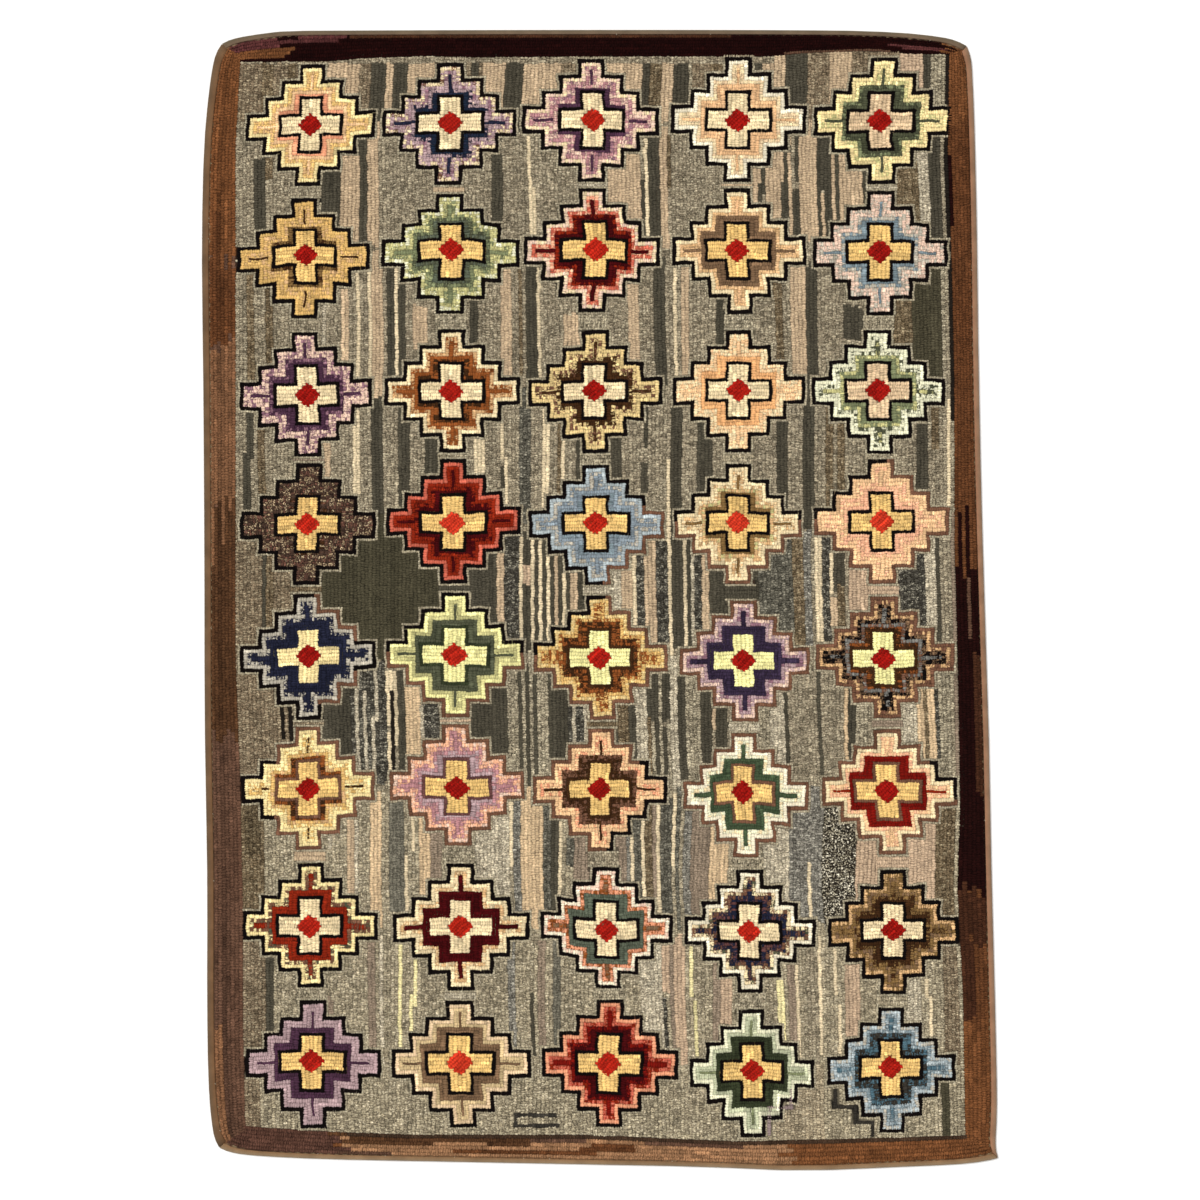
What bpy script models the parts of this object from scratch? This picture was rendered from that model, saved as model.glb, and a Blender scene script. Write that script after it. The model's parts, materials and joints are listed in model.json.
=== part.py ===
"""A hand-hooked wool rug lying flat, with cotton tape bound over its four edges.

The rug is one flat solid: a foundation cloth with its hem turned under, and the hooked pile
standing on it as far as the hem. Four lengths of tape, one for each side, are folded round the
hem and meet at the corners. Each is a folded strip of its own.

Metres, +Z up. The rug's length runs along Y, and the origin lies on the floor under the middle
of its outline.
"""

import math

import bmesh
import bpy
import numpy as np

# Driving dimensions of the rug: the mean height of its loops, how far and how deep they round over
# at their rim, the height of the hem beside them, and how much the loops' height varies.
PILE_TOP = 0.0085
SHOULDER_WIDTH = 0.0026
SHOULDER_DROP = 0.0022
HEM_TOP = 0.0036
HEM_ROUNDING = 0.0008
SWELL = 0.0006

# Driving dimensions of the tape: how thick it is, how round its folds are, and how far it reaches
# over the front of each side and under the back of all four.
TAPE = 0.0009
FOLD_ROUNDING = 0.0014
FRONT_LAP = {"left": 0.0105, "bottom": 0.0100, "right": 0.0090, "top": 0.0045}
BACK_LAP = 0.028

# Room between the tape and the hem inside it, between the tape and the first row of loops,
# between two tapes at a corner, and the width of the slope where the rug's back leaves the tape.
CLEARANCE = 0.0003
ROW_CLEARANCE = 0.0006
CORNER_GAP = 0.0004
BACK_SLOPE = 0.004

# The tape's outer edge. Each side is a smooth curve from one corner to the next, anticlockwise
# seen from above, given by its x and y at a few stations. Three corners are rounded over in the
# stations nearest to them, and the one at the bottom right runs out to a small point.
EDGE_STATIONS = {
    "left": (
        (-0.6048, 0.8896),
        (-0.6144, 0.8736),
        (-0.6232, 0.8288),
        (-0.6328, 0.7280),
        (-0.6365, 0.5600),
        (-0.6344, 0.3520),
        (-0.6326, 0.0640),
        (-0.6320, -0.1920),
        (-0.6280, -0.4480),
        (-0.6280, -0.6560),
        (-0.6248, -0.7920),
        (-0.6168, -0.8592),
        (-0.6088, -0.8752),
    ),
    "bottom": (
        (-0.6088, -0.8752),
        (-0.5936, -0.8821),
        (-0.5504, -0.8880),
        (-0.4320, -0.8936),
        (-0.2400, -0.8976),
        (0.0000, -0.9024),
        (0.1600, -0.9056),
        (0.3200, -0.9115),
        (0.4880, -0.9056),
        (0.5840, -0.9008),
        (0.6250, -0.8948),
        (0.6366, -0.8918),
    ),
    "right": (
        (0.6366, -0.8918),
        (0.6325, -0.8768),
        (0.6346, -0.8160),
        (0.6330, -0.7040),
        (0.6256, -0.4160),
        (0.6218, -0.2240),
        (0.6157, -0.0320),
        (0.6096, 0.1760),
        (0.6053, 0.3840),
        (0.6022, 0.6080),
        (0.5986, 0.7600),
        (0.5952, 0.8400),
        (0.5928, 0.8688),
        (0.5864, 0.8864),
    ),
    "top": (
        (0.5864, 0.8864),
        (0.5680, 0.8955),
        (0.5360, 0.9019),
        (0.4800, 0.9075),
        (0.3840, 0.9110),
        (0.0000, 0.9120),
        (-0.4320, 0.9109),
        (-0.5120, 0.9094),
        (-0.5600, 0.9029),
        (-0.5904, 0.8968),
        (-0.6048, 0.8896),
    ),
}

# How finely the solids are made, and how far the points of a side are drawn towards its corners,
# from 0 for evenly spaced to 1 for closest together there.
STEPS_ALONG_SIDE = {"left": 28, "bottom": 24, "right": 30, "top": 24}
STEPS_BETWEEN_STATIONS = 24
DRAW_TO_CORNERS = 0.85
PILE_RINGS = 11
FIRST_PILE_RING = 0.012
LAST_PILE_RING = 0.96

# Colour and roughness of each finish.
FINISHES = {
    "hooked_wool": ((0.27, 0.26, 0.21), 0.95),
    "tape_left": ((0.30, 0.22, 0.15), 0.90),
    "tape_bottom": ((0.36, 0.25, 0.15), 0.90),
    "tape_right": ((0.38, 0.25, 0.19), 0.90),
    "tape_top": ((0.31, 0.27, 0.18), 0.90),
}


def curve_through(stations, steps):
    """Points along a smooth curve through the stations, spaced evenly between its ends."""
    fixed = np.array(stations)
    first = 2 * fixed[0] - fixed[1]
    last = 2 * fixed[-1] - fixed[-2]
    knots = np.vstack([first, fixed, last])
    fine = []
    for before, start, end, after in zip(knots, knots[1:], knots[2:], knots[3:]):
        reach = np.linalg.norm(end - start)
        leave = (end - before) * reach / np.linalg.norm(end - before)
        arrive = (after - start) * reach / np.linalg.norm(after - start)
        for t in np.linspace(0.0, 1.0, STEPS_BETWEEN_STATIONS, endpoint=False):
            fine.append(
                (2 * t**3 - 3 * t**2 + 1) * start
                + (t**3 - 2 * t**2 + t) * leave
                + (3 * t**2 - 2 * t**3) * end
                + (t**3 - t**2) * arrive
            )
    fine = np.array(fine + [fixed[-1]])
    travel = np.concatenate([[0.0], np.cumsum(np.linalg.norm(np.diff(fine, axis=0), axis=1))])
    wanted = spaced_to_corners(steps) * travel[-1]
    return np.column_stack([np.interp(wanted, travel, fine[:, axis]) for axis in (0, 1)])


def spaced_to_corners(steps):
    """Shares from 0 to 1, drawn closer together near both ends, where the side turns its corner."""
    even = np.linspace(0.0, 1.0, steps + 1)
    drawn = even - DRAW_TO_CORNERS * np.sin(2 * math.pi * even) / (2 * math.pi)
    return drawn.clip(0.0, 1.0)


def outer_edges():
    """The curve of each side, all shifted so that the origin is in the middle of their box."""
    sides = {
        name: curve_through(stations, STEPS_ALONG_SIDE[name])
        for name, stations in EDGE_STATIONS.items()
    }
    everything = np.vstack(list(sides.values()))
    middle = (everything.min(axis=0) + everything.max(axis=0)) / 2
    return {name: points - middle for name, points in sides.items()}


def half_size(sides):
    """Half the width and half the length of the whole outline."""
    return np.vstack(list(sides.values())).max(axis=0)


def drawn_in(points, half, insets):
    """The points moved in towards the middle, so that each side moves by its own inset.

    The insets are those of the left, right, bottom and top sides.
    """
    left, right, bottom, top = insets
    x_inset = np.where(points[:, 0] < 0, left, right)
    y_inset = np.where(points[:, 1] < 0, bottom, top)
    return np.column_stack(
        [points[:, 0] * (1 - x_inset / half[0]), points[:, 1] * (1 - y_inset / half[1])]
    )


def all_round(inset):
    """One inset for all four sides."""
    return (inset, inset, inset, inset)


def past_lap(extra):
    """An inset that reaches past the tape's front lap on each side by the same extra."""
    return tuple(FRONT_LAP[name] + extra for name in ("left", "right", "bottom", "top"))


def swell(x, y):
    """How far the pile's top stands above or below its mean height, as hand-drawn loops do."""
    long_wave = math.sin(5.1 * x + 2.3 * y + 0.4) * math.cos(3.4 * y - 1.1)
    short_wave = math.sin(11.0 * y - 6.2 * x) * math.cos(8.7 * x + 0.6)
    return SWELL * (long_wave + 0.6 * short_wave)


def finish(name):
    """The Principled material of one finish."""
    colour, roughness = FINISHES[name]
    material = bpy.data.materials.new(name)
    material.use_nodes = True
    shader = material.node_tree.nodes["Principled BSDF"]
    shader.inputs["Base Color"].default_value = (*colour, 1.0)
    shader.inputs["Roughness"].default_value = roughness
    shader.inputs["Metallic"].default_value = 0.0
    return material


def add_object(name, mesh_data, finish_name):
    """A named object made from a bmesh, with faces out and its finish on it."""
    bmesh.ops.recalc_face_normals(mesh_data, faces=mesh_data.faces)
    mesh = bpy.data.meshes.new(name)
    mesh_data.to_mesh(mesh)
    mesh_data.free()
    mesh.materials.append(finish(finish_name))
    mesh.shade_smooth()
    mesh.set_sharp_from_angle(angle=math.radians(40))
    piece = bpy.data.objects.new(name, mesh)
    bpy.context.scene.collection.objects.link(piece)
    return piece


def bridge(mesh_data, ring, next_ring, closed):
    """Faces between two rows of vertices of equal length."""
    count = len(ring)
    for i in range(count if closed else count - 1):
        j = (i + 1) % count
        mesh_data.faces.new((ring[i], ring[j], next_ring[j], next_ring[i]))


def rug_rings(outline, half):
    """The rug's rings in order, from the middle of its underside out and over to its top.

    Each ring is an array of x, y and z.
    """
    under_tape = TAPE + CLEARANCE
    rings = []

    def level(insets, height):
        flat = drawn_in(outline, half, insets)
        rings.append(np.column_stack([flat, np.full(len(flat), height)]))

    # The back, flat on the floor and then raised over the tape.
    level(all_round(BACK_LAP + ROW_CLEARANCE + BACK_SLOPE), 0.0)
    level(all_round(BACK_LAP + ROW_CLEARANCE), under_tape)
    # The hem, with its outer edge rounded over.
    level(all_round(under_tape + HEM_ROUNDING), under_tape)
    level(all_round(under_tape), under_tape + HEM_ROUNDING)
    level(all_round(under_tape), HEM_TOP - HEM_ROUNDING)
    level(all_round(under_tape + HEM_ROUNDING), HEM_TOP)
    level(past_lap(ROW_CLEARANCE), HEM_TOP)
    # The rim of the pile, from the foot of its outermost row to that row's top.
    level(past_lap(2 * ROW_CLEARANCE), PILE_TOP - SHOULDER_DROP)
    level(past_lap(2 * ROW_CLEARANCE + SHOULDER_WIDTH), PILE_TOP - SWELL)
    # The pile's top, in rings from its rim to near its middle.
    for share in np.linspace(FIRST_PILE_RING, LAST_PILE_RING, PILE_RINGS):
        flat = outline * (1 - share)
        full_swell = min(1.0, share / (3 * FIRST_PILE_RING))
        heights = [PILE_TOP + swell(x, y) * full_swell for x, y in flat]
        rings.append(np.column_stack([flat, heights]))
    return rings


def build_rug(outline, half):
    """The foundation cloth with its hem and its pile, as one closed flat solid."""
    made = bmesh.new()
    rings = [[made.verts.new(point) for point in ring] for ring in rug_rings(outline, half)]
    for ring, next_ring in zip(rings, rings[1:]):
        bridge(made, ring, next_ring, closed=True)
    made.faces.new(rings[0])
    middle = made.verts.new((0.0, 0.0, PILE_TOP + swell(0.0, 0.0)))
    last = rings[-1]
    for i, vertex in enumerate(last):
        made.faces.new((vertex, last[(i + 1) % len(last)], middle))
    return add_object("hooked_rug", made, "hooked_wool")


def tape_section():
    """The folded tape's section as (insets, height), round its outer face and back inside."""
    top = HEM_TOP + CLEARANCE + TAPE
    halfway = FOLD_ROUNDING * (1 - math.cos(math.radians(45)))
    inner = FOLD_ROUNDING - TAPE
    return (
        (all_round(BACK_LAP), 0.0),
        (all_round(FOLD_ROUNDING), 0.0),
        (all_round(halfway), halfway),
        (all_round(0.0), FOLD_ROUNDING),
        (all_round(0.0), top - FOLD_ROUNDING),
        (all_round(halfway), top - halfway),
        (all_round(FOLD_ROUNDING), top),
        (past_lap(0.0), top),
        (past_lap(0.0), top - TAPE),
        (all_round(TAPE + inner), top - TAPE),
        (all_round(TAPE), top - TAPE - inner),
        (all_round(TAPE), TAPE + inner),
        (all_round(TAPE + inner), TAPE),
        (all_round(BACK_LAP), TAPE),
    )


def cut_back(points, gap):
    """A side's points with both ends drawn back along it, which leaves a gap at each corner."""
    trimmed = points.copy()
    for end, neighbour in ((0, 1), (-1, -2)):
        along = trimmed[neighbour] - trimmed[end]
        trimmed[end] = trimmed[end] + along * gap / np.linalg.norm(along)
    return trimmed


def build_tape(name, points, half):
    """One side's binding: the folded section carried along that side of the outline."""
    made = bmesh.new()
    path = cut_back(points, CORNER_GAP)
    section = tape_section()
    rows = [drawn_in(path, half, insets) for insets, _ in section]
    lines = [
        [made.verts.new((x, y, height)) for x, y in row] for row, (_, height) in zip(rows, section)
    ]
    for line, next_line in zip(lines, lines[1:] + lines[:1]):
        bridge(made, line, next_line, closed=False)
    made.faces.new([line[0] for line in lines])
    made.faces.new([line[-1] for line in lines])
    return add_object(f"binding_{name}", made, f"tape_{name}")


def clear_scene():
    """Removes the objects that the file opened with."""
    for old in list(bpy.data.objects):
        bpy.data.objects.remove(old, do_unlink=True)


def main():
    """Builds the rug and the four tapes on one outline."""
    clear_scene()
    sides = outer_edges()
    half = half_size(sides)
    outline = np.vstack([points[:-1] for points in sides.values()])
    build_rug(outline, half)
    for name, points in sides.items():
        build_tape(name, points, half)


main()
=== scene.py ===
"""A hand-hooked wool rug lying flat: its looks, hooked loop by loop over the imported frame.

The rug is a foundation cloth with rows of wool loops standing on it, and four tapes sewn over its
hem. Forty stepped medallions are set on a ground of upright rows, inside a border of rows that
follow the sides. Every loop is a small bent patch of strip, and a row of them takes its shades
from one yarn, so mottled and plain rows come from the same few classes.

Metres, +Z up, in the frame of the CAD. Places read off the photograph are in its pixels.
"""

import json
import logging
import math
from collections.abc import Callable
from dataclasses import dataclass, field, replace
from enum import Enum

import bpy
import numpy as np
from mathutils.kdtree import KDTree
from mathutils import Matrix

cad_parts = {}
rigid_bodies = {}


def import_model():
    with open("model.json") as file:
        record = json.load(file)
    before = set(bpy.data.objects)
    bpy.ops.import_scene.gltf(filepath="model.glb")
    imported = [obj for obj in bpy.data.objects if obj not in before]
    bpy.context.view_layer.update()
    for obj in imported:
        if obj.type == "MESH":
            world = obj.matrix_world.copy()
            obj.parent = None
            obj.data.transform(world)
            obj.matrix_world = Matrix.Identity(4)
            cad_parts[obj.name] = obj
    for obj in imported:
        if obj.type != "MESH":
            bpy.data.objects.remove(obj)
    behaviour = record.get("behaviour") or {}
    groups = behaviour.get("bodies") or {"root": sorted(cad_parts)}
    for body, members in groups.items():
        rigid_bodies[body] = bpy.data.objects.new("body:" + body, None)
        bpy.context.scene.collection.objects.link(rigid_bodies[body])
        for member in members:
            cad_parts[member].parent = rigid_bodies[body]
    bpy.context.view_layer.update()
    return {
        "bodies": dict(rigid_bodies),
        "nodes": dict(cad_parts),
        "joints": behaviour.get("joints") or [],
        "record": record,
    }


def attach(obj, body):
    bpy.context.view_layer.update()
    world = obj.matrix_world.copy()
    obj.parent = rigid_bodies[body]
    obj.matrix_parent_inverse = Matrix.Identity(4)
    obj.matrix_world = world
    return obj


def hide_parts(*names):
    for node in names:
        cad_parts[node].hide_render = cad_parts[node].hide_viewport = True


log = logging.getLogger("hooked_rug")

MM = 0.001
BODY = "root"
TAPE_SEED = 21

# The photograph: metres on the rug for one of its pixels, and the pixel over the rug's origin.
PIXEL = 0.0016
MIDDLE_PIXEL = 600.0

# The hooking: how far apart rows stand, and how far apart the loops of one row are.
ROW = 3.7 * PIXEL
PITCH = 3.8 * MM
RIB_PITCH = 4.4 * MM

# Heights taken over from the CAD: the mean top of the loops and how much it varies, the top of
# the hem, the tape's thickness, and the gap between the tape and the hem.
PILE_TOP = 8.5 * MM
SWELL = 0.6 * MM
HEM_TOP = 3.6 * MM
TAPE = 0.9 * MM
CLEARANCE = 0.3 * MM

Points = np.ndarray


def across(pixel: float | Points) -> float | Points:
    """X of a pixel column of the photograph, in metres."""
    return (pixel - MIDDLE_PIXEL) * PIXEL


def upward(pixel: float | Points) -> float | Points:
    """Y of a pixel line of the photograph, in metres."""
    return (MIDDLE_PIXEL - pixel) * PIXEL


def swell(x: Points, y: Points) -> Points:
    """How far the pile stands above or below its mean height, as in the CAD."""
    long_wave = np.sin(5.1 * x + 2.3 * y + 0.4) * np.cos(3.4 * y - 1.1)
    short_wave = np.sin(11.0 * y - 6.2 * x) * np.cos(8.7 * x + 0.6)
    return SWELL * (long_wave + 0.6 * short_wave)


def linear_colours(shades: str) -> Points:
    """Linear colours of hexadecimal shades.

    Args:
        shades: Six-digit shades with spaces between them.

    Returns:
        One row of red, green and blue for each shade.
    """
    raw = np.array([[int(shade[i : i + 2], 16) for i in (0, 2, 4)] for shade in shades.split()])
    raw = raw / 255.0
    return np.where(raw <= 0.04045, raw / 12.92, ((raw + 0.055) / 1.055) ** 2.4)


@dataclass(frozen=True)
class Yarn:
    """Wool strips that were cut and dyed together.

    Attributes:
        shades: The shades that occur in it, as hexadecimal colours.
        run: How many loops a shade lasts, on average.
        uneven: How much the lightness varies from loop to loop.
        fleck: How much lighter and darker specks there are within a loop.
        soft: How far a loop's shade goes over into those of the loops beside it.
        specks: The shades of the other strips that show in its specks, if there are any.
        tone: How much the lightness varies from one run of a shade to the next.
    """

    shades: str
    run: float = 4.0
    uneven: float = 0.06
    fleck: float = 0.16
    soft: float = 0.0
    specks: str = ""
    tone: float = 0.15

    def mixed_with(self, other: "Yarn") -> "Yarn":
        """This yarn with a third of another one in it, for a mottled row."""
        both = f"{self.shades} {other.shades}"
        shades = f"{self.shades} {both}"
        return replace(self, shades=shades, run=1.3, fleck=0.22, specks=f"{self.specks} {both}")

    def dyed(self, count: int, rng: np.random.Generator) -> tuple[Points, Points]:
        """Linear colours of the loops of one row, and of the specks in them.

        Args:
            count: How many loops the row has.
            rng: The source of chance.

        Returns:
            Two arrays of that many colours.
        """
        shades = linear_colours(self.shades)
        changes = rng.random(count) < 1.0 / self.run
        latest = np.maximum.accumulate(np.where(changes, np.arange(count), 0))
        tones = np.exp(rng.normal(0.0, self.tone, (count, 1)))
        colours = (shades[rng.integers(len(shades), size=count)] * tones)[latest]
        if self.soft and count > 1:
            around = (np.roll(colours, 1, axis=0) + np.roll(colours, -1, axis=0)) / 2
            colours = colours + (around - colours) * self.soft * 2 / 3
        others = linear_colours(self.specks)
        specks = others[rng.integers(len(others), size=count)] if self.specks else colours
        uneven = np.exp(rng.normal(0.0, self.uneven, (count, 1)))
        return colours * uneven, specks * uneven


# The shades of the medallions' wools, and of the border's, which go over into one another.
MEDALLION_SHADES = {
    "black": "0d0807", "brown": "6b4a38", "dark_brown": "3b2412", "rust": "854a23", "brick":
    "80230f", "dark_red": "6f120a", "maroon": "3f080a", "plum": "5c3b38", "mauve": "86626c", "rose":
    "b07f80", "lilac": "ab9090", "purple": "462c3c", "aubergine": "33283a", "navy": "1f2131",
    "deep_blue": "1a2433", "steel": "748185", "blue": "808a90", "pale_blue": "a6aeae", "petrol":
    "48616b", "slate_green": "565c4c", "green": "404d36", "dark_green": "303523", "sage": "777c5a",
    "pale_sage": "b2b494", "mint": "dcd8b8", "khaki": "bdb67e", "olive": "4d4f3c", "moss": "474936",
    "olive_brown": "7a5e38", "taupe": "745a42", "tan": "c9a273", "sand": "c4ab80", "straw":
    "d8bd84", "golden": "cfa866", "gold": "e1ba74", "apricot": "dda670", "dull_peach": "d8ad80",
    "peach": "e7bd8e", "salmon": "dc9672", "coral": "bd5f4a", "pink": "e3ab88", "pale_pink":
    "dcbca6", "butter": "ecd59a", "cream": "e4cea3", "white_cream": "e8dcc0", "pale_yellow":
    "ede49f", "beige": "d8bb95", "silver": "b0a796", "grey": "74716a", "crimson": "92150e", "red":
    "a01c12", "bright_red": "ad2415", "orange_red": "c43721",
}
BORDER_SHADES = {
    "chestnut": "6d4427", "walnut": "5c3820", "umber": "4c321f", "dun": "5a4031", "mocha": "52372c",
    "fawn": "765238", "caramel": "8f694a", "sable": "402517", "soot": "3c2c20", "oxblood": "1d0806",
    "cherry": "1a0504", "wine": "522c2a",
}
WOOLS = {name: Yarn(shade) for name, shade in MEDALLION_SHADES.items()}
WOOLS |= {name: Yarn(shade, 3.0, 0.07, 0.34, 0.5) for name, shade in BORDER_SHADES.items()}
WOOLS["tweed"] = Yarn("46342a", 1.5, 0.14, 0.4, 0.0, "9c8666 2e221b b8a280 6f4a3c")
WOOLS["charcoal"] = Yarn("332f29", 8.0)
WOOLS["mauve_grey"] = Yarn("7c6c68", 6.0)

# The wools of the ground, by the letter that stands for each in the stripe charts.
HEATHER = Yarn("8b7f69", 1.5, 0.10, 0.45, 0.3, "564d3d b5a98e 615847 a89c82")
TICKED = Yarn("b79f80", 6.0, 0.06, 0.28, 0.0, "", 0.08)
GROUND_WOOLS = {
    "h": HEATHER,
    "e": replace(HEATHER, shades="958970", specks="625949 c1b499 6d6352 b2a68b"),
    "a": replace(HEATHER, shades="9a8b71", specks="6f6450 bcae92 786c58 b0a287"),
    "w": replace(HEATHER, shades="7a6a54", specks="4c4031 a5967a 574a39 988a70"),
    "g": replace(HEATHER, shades="91866f", specks="544c3d c0b498 4a4335 b0a48a"),
    "l": replace(HEATHER, shades="b0a48c", specks="776d5b d0c4aa 857b67 c5b99f"),
    "d": replace(HEATHER, shades="46423a", specks="262219 8a8472 2d2921 958e7c"),
    "x": replace(HEATHER, shades="5c584c", specks="35322a 8c8675 3d3931 7f7969"),
    "j": replace(HEATHER, shades="757065", specks="45413a a8a292 504c43 9a9484"),
    "t": replace(HEATHER, shades="6f5f48", specks="443826 998a6d 4f4330"),
    "u": replace(HEATHER, shades="5a4d39", specks="352c1f 7d6f56"),
    "z": Yarn("2a251e", 1.2, 0.15, 0.5, 0.0, "c6bca4 d8ceb6 aaa088 8f8570"),
    "s": replace(TICKED, shades="484337", run=10.0, fleck=0.3),
    "o": replace(TICKED, shades="464131", run=10.0, fleck=0.3),
    "v": replace(TICKED, shades="6a6557", run=4.0, fleck=0.5),
    "k": replace(TICKED, shades="1f1a15"),
    "m": replace(TICKED, shades="897865", fleck=0.4),
    "b": TICKED,
    "n": replace(TICKED, shades="b89e82"),
    "p": replace(TICKED, shades="c8ad88"),
    "c": replace(TICKED, shades="d3c09d"),
    "y": replace(TICKED, shades="ded09b"),
}
HALO_WOOL = Yarn("978c74", 2.0, 0.08, 0.35, 0.3, "857a64 b3a88f")
HALO_WIDTH = 0.6 * ROW


def wool_called(name: str) -> Yarn:
    """The wool of a name, or the mottled mix of several names joined with a plus sign."""
    first, *others = [WOOLS[part] for part in name.split("+")]
    for other in others:
        first = first.mixed_with(other)
    return first


class Side(Enum):
    """The four sides of the rug, in the order in which its outline runs."""

    LEFT = "left"
    BOTTOM = "bottom"
    RIGHT = "right"
    TOP = "top"

    @property
    def upright(self) -> bool:
        """Whether it runs up and down."""
        return self in (Side.LEFT, Side.RIGHT)


@dataclass(frozen=True)
class Outline:
    """The tape's outer edge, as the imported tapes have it.

    Attributes:
        sides: The points of each side, from corner to corner, anticlockwise.
        half: Half the width and half the length of the whole.
    """

    sides: dict[Side, Points]
    half: Points

    FOLD_HEIGHT = 0.41 * MM
    FRONT_LAP = {
        Side.LEFT: 10.5 * MM,
        Side.BOTTOM: 7.6 * MM,
        Side.RIGHT: 9.0 * MM,
        Side.TOP: 7.0 * MM,
    }

    @classmethod
    def from_frame(cls, frame: dict) -> "Outline":
        """Reads the outline off the tapes' lower fold.


        Returns:
            The outline, with its corners closed.
        """
        directions = {Side.LEFT: (0, -1), Side.BOTTOM: (1, 0), Side.RIGHT: (0, 1), Side.TOP: (-1, 0)}
        found = {}
        for side, direction in directions.items():
            mesh = frame["nodes"][f"binding_{side.value}"].data
            flat = np.zeros(len(mesh.vertices) * 3)
            mesh.vertices.foreach_get("co", flat)
            points = flat.reshape(-1, 3)
            fold = points[np.abs(points[:, 2] - cls.FOLD_HEIGHT) < 0.05 * MM][:, :2]
            found[side] = fold[np.argsort(fold @ np.array(direction))]
        half = np.vstack(list(found.values())).max(axis=0) + cls.FOLD_HEIGHT
        sides = {side: points / (1 - cls.FOLD_HEIGHT / half) for side, points in found.items()}
        order = list(Side)
        for side, following in zip(order, order[1:] + order[:1]):
            corner = (sides[side][-1] + sides[following][0]) / 2
            sides[side][-1] = corner
            sides[following][0] = corner
        return cls(sides, half)

    def drawn_in(self, points: Points, insets: dict[Side, float]) -> Points:
        """Points moved in towards the middle, each side by its own inset.

        Args:
            points: Places on the outline.
            insets: How far each side moves in.

        Returns:
            The moved places.
        """
        x_inset = np.where(points[:, 0] < 0, insets[Side.LEFT], insets[Side.RIGHT])
        y_inset = np.where(points[:, 1] < 0, insets[Side.BOTTOM], insets[Side.TOP])
        return points * (1 - np.column_stack([x_inset, y_inset]) / self.half)

    def past_lap(self, extra: float) -> dict[Side, float]:
        """Insets that reach past each front lap of the tape by the same extra."""
        return {side: lap + extra for side, lap in self.FRONT_LAP.items()}

    @staticmethod
    def all_round(inset: float) -> dict[Side, float]:
        """The same inset for all four sides."""
        return dict.fromkeys(Side, inset)


def resampled(points: Points, shares: Points) -> Points:
    """Points at given shares of the length of a line.

    Args:
        points: The line's own points.
        shares: Places along it, from 0 at its start to 1 at its end.

    Returns:
        One point for each share.
    """
    steps = np.linalg.norm(np.diff(points, axis=0), axis=1)
    travel = np.concatenate([[0.0], np.cumsum(steps)])
    wanted = shares * travel[-1]
    return np.column_stack([np.interp(wanted, travel, points[:, axis]) for axis in (0, 1)])


@dataclass(frozen=True)
class Field:
    """The ground's four edges inside the border, as pixels of the photograph.

    Attributes:
        left: (line, column) pairs down the left edge.
        right: The same down the right edge.
        top: (column, line) pairs along the top edge.
        bottom: The same along the bottom edge.
        rows: How many upright rows the ground has.
    """

    left: tuple = (
        (55, 241), (150, 236), (650, 236), (780, 240.7), (915, 243.5), (1025, 243.5), (1130, 246),
    )
    right: tuple = (
        (54, 949), (157, 947.4), (267, 951.5), (380, 954), (545, 954), (654, 957), (800, 959.8),
        (887, 957), (997, 962.5), (1138, 965),
    )
    top: tuple = (
        (241, 62.5), (330, 62), (365, 59), (430, 56.5), (460, 58), (600, 57), (770, 57), (800, 54),
        (870, 51.5), (905, 54.5), (949, 55),
    )
    bottom: tuple = (
        (246, 1125.7), (327, 1131), (409, 1134), (580, 1134), (736, 1140.7), (854, 1138), (965, 1135),
    )
    rows: int = 190

    def at(self, side: Side, places: Points) -> Points:
        """Where one edge runs.

        Args:
            side: Which edge.
            places: Y for the left and the right edge, and X for the other two.

        Returns:
            Its X or its Y at each place.
        """
        known, wanted = np.array(getattr(self, side.value)).T
        if side.upright:
            return across(np.interp(MIDDLE_PIXEL - places / PIXEL, known, wanted))
        return upward(np.interp(MIDDLE_PIXEL + places / PIXEL, known, wanted))

    def edge(self, side: Side) -> Points:
        """One edge from corner to corner, anticlockwise, as points in metres."""
        pixels = np.array(getattr(self, side.value))
        columns, lines = pixels.T[::-1] if side.upright else pixels.T
        points = np.column_stack([across(columns), upward(lines)])
        return points[::-1] if side in (Side.RIGHT, Side.TOP) else points

    def holds(self, points: Points, margin: float) -> Points:
        """Which points lie inside the edges by at least a margin."""
        x, y = points.T
        inside = (x > self.at(Side.LEFT, y) + margin) & (x < self.at(Side.RIGHT, y) - margin)
        inside &= (y > self.at(Side.BOTTOM, x) + margin) & (y < self.at(Side.TOP, x) - margin)
        return inside


@dataclass(frozen=True)
class Drift:
    """How hand-drawn lines wander on the cloth.

    Attributes:
        seed: The start of the chance in it.
        bends: The wavelength and the reach of each kind of bend, in metres.
        waves: How many waves each kind is made of.
    """

    seed: int = 11
    bends: tuple = ((0.16, 0.8 * MM), (0.027, 0.45 * MM))
    waves: int = 6

    def at(self, points: Points) -> Points:
        """How far the lines are moved at given points."""
        rng = np.random.default_rng(self.seed)
        moved = np.zeros(points.shape)
        for wavelength, reach in self.bends:
            for axis in (0, 1):
                turns = rng.uniform(0, 2 * math.pi, self.waves)
                starts = rng.uniform(0, 2 * math.pi, self.waves)
                for turn, start in zip(turns, starts):
                    heading = np.array([math.cos(turn), math.sin(turn)])
                    phase = points @ heading * (2 * math.pi / wavelength) + start
                    moved[:, axis] += np.sin(phase) * reach / math.sqrt(self.waves / 2)
        return moved


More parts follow.
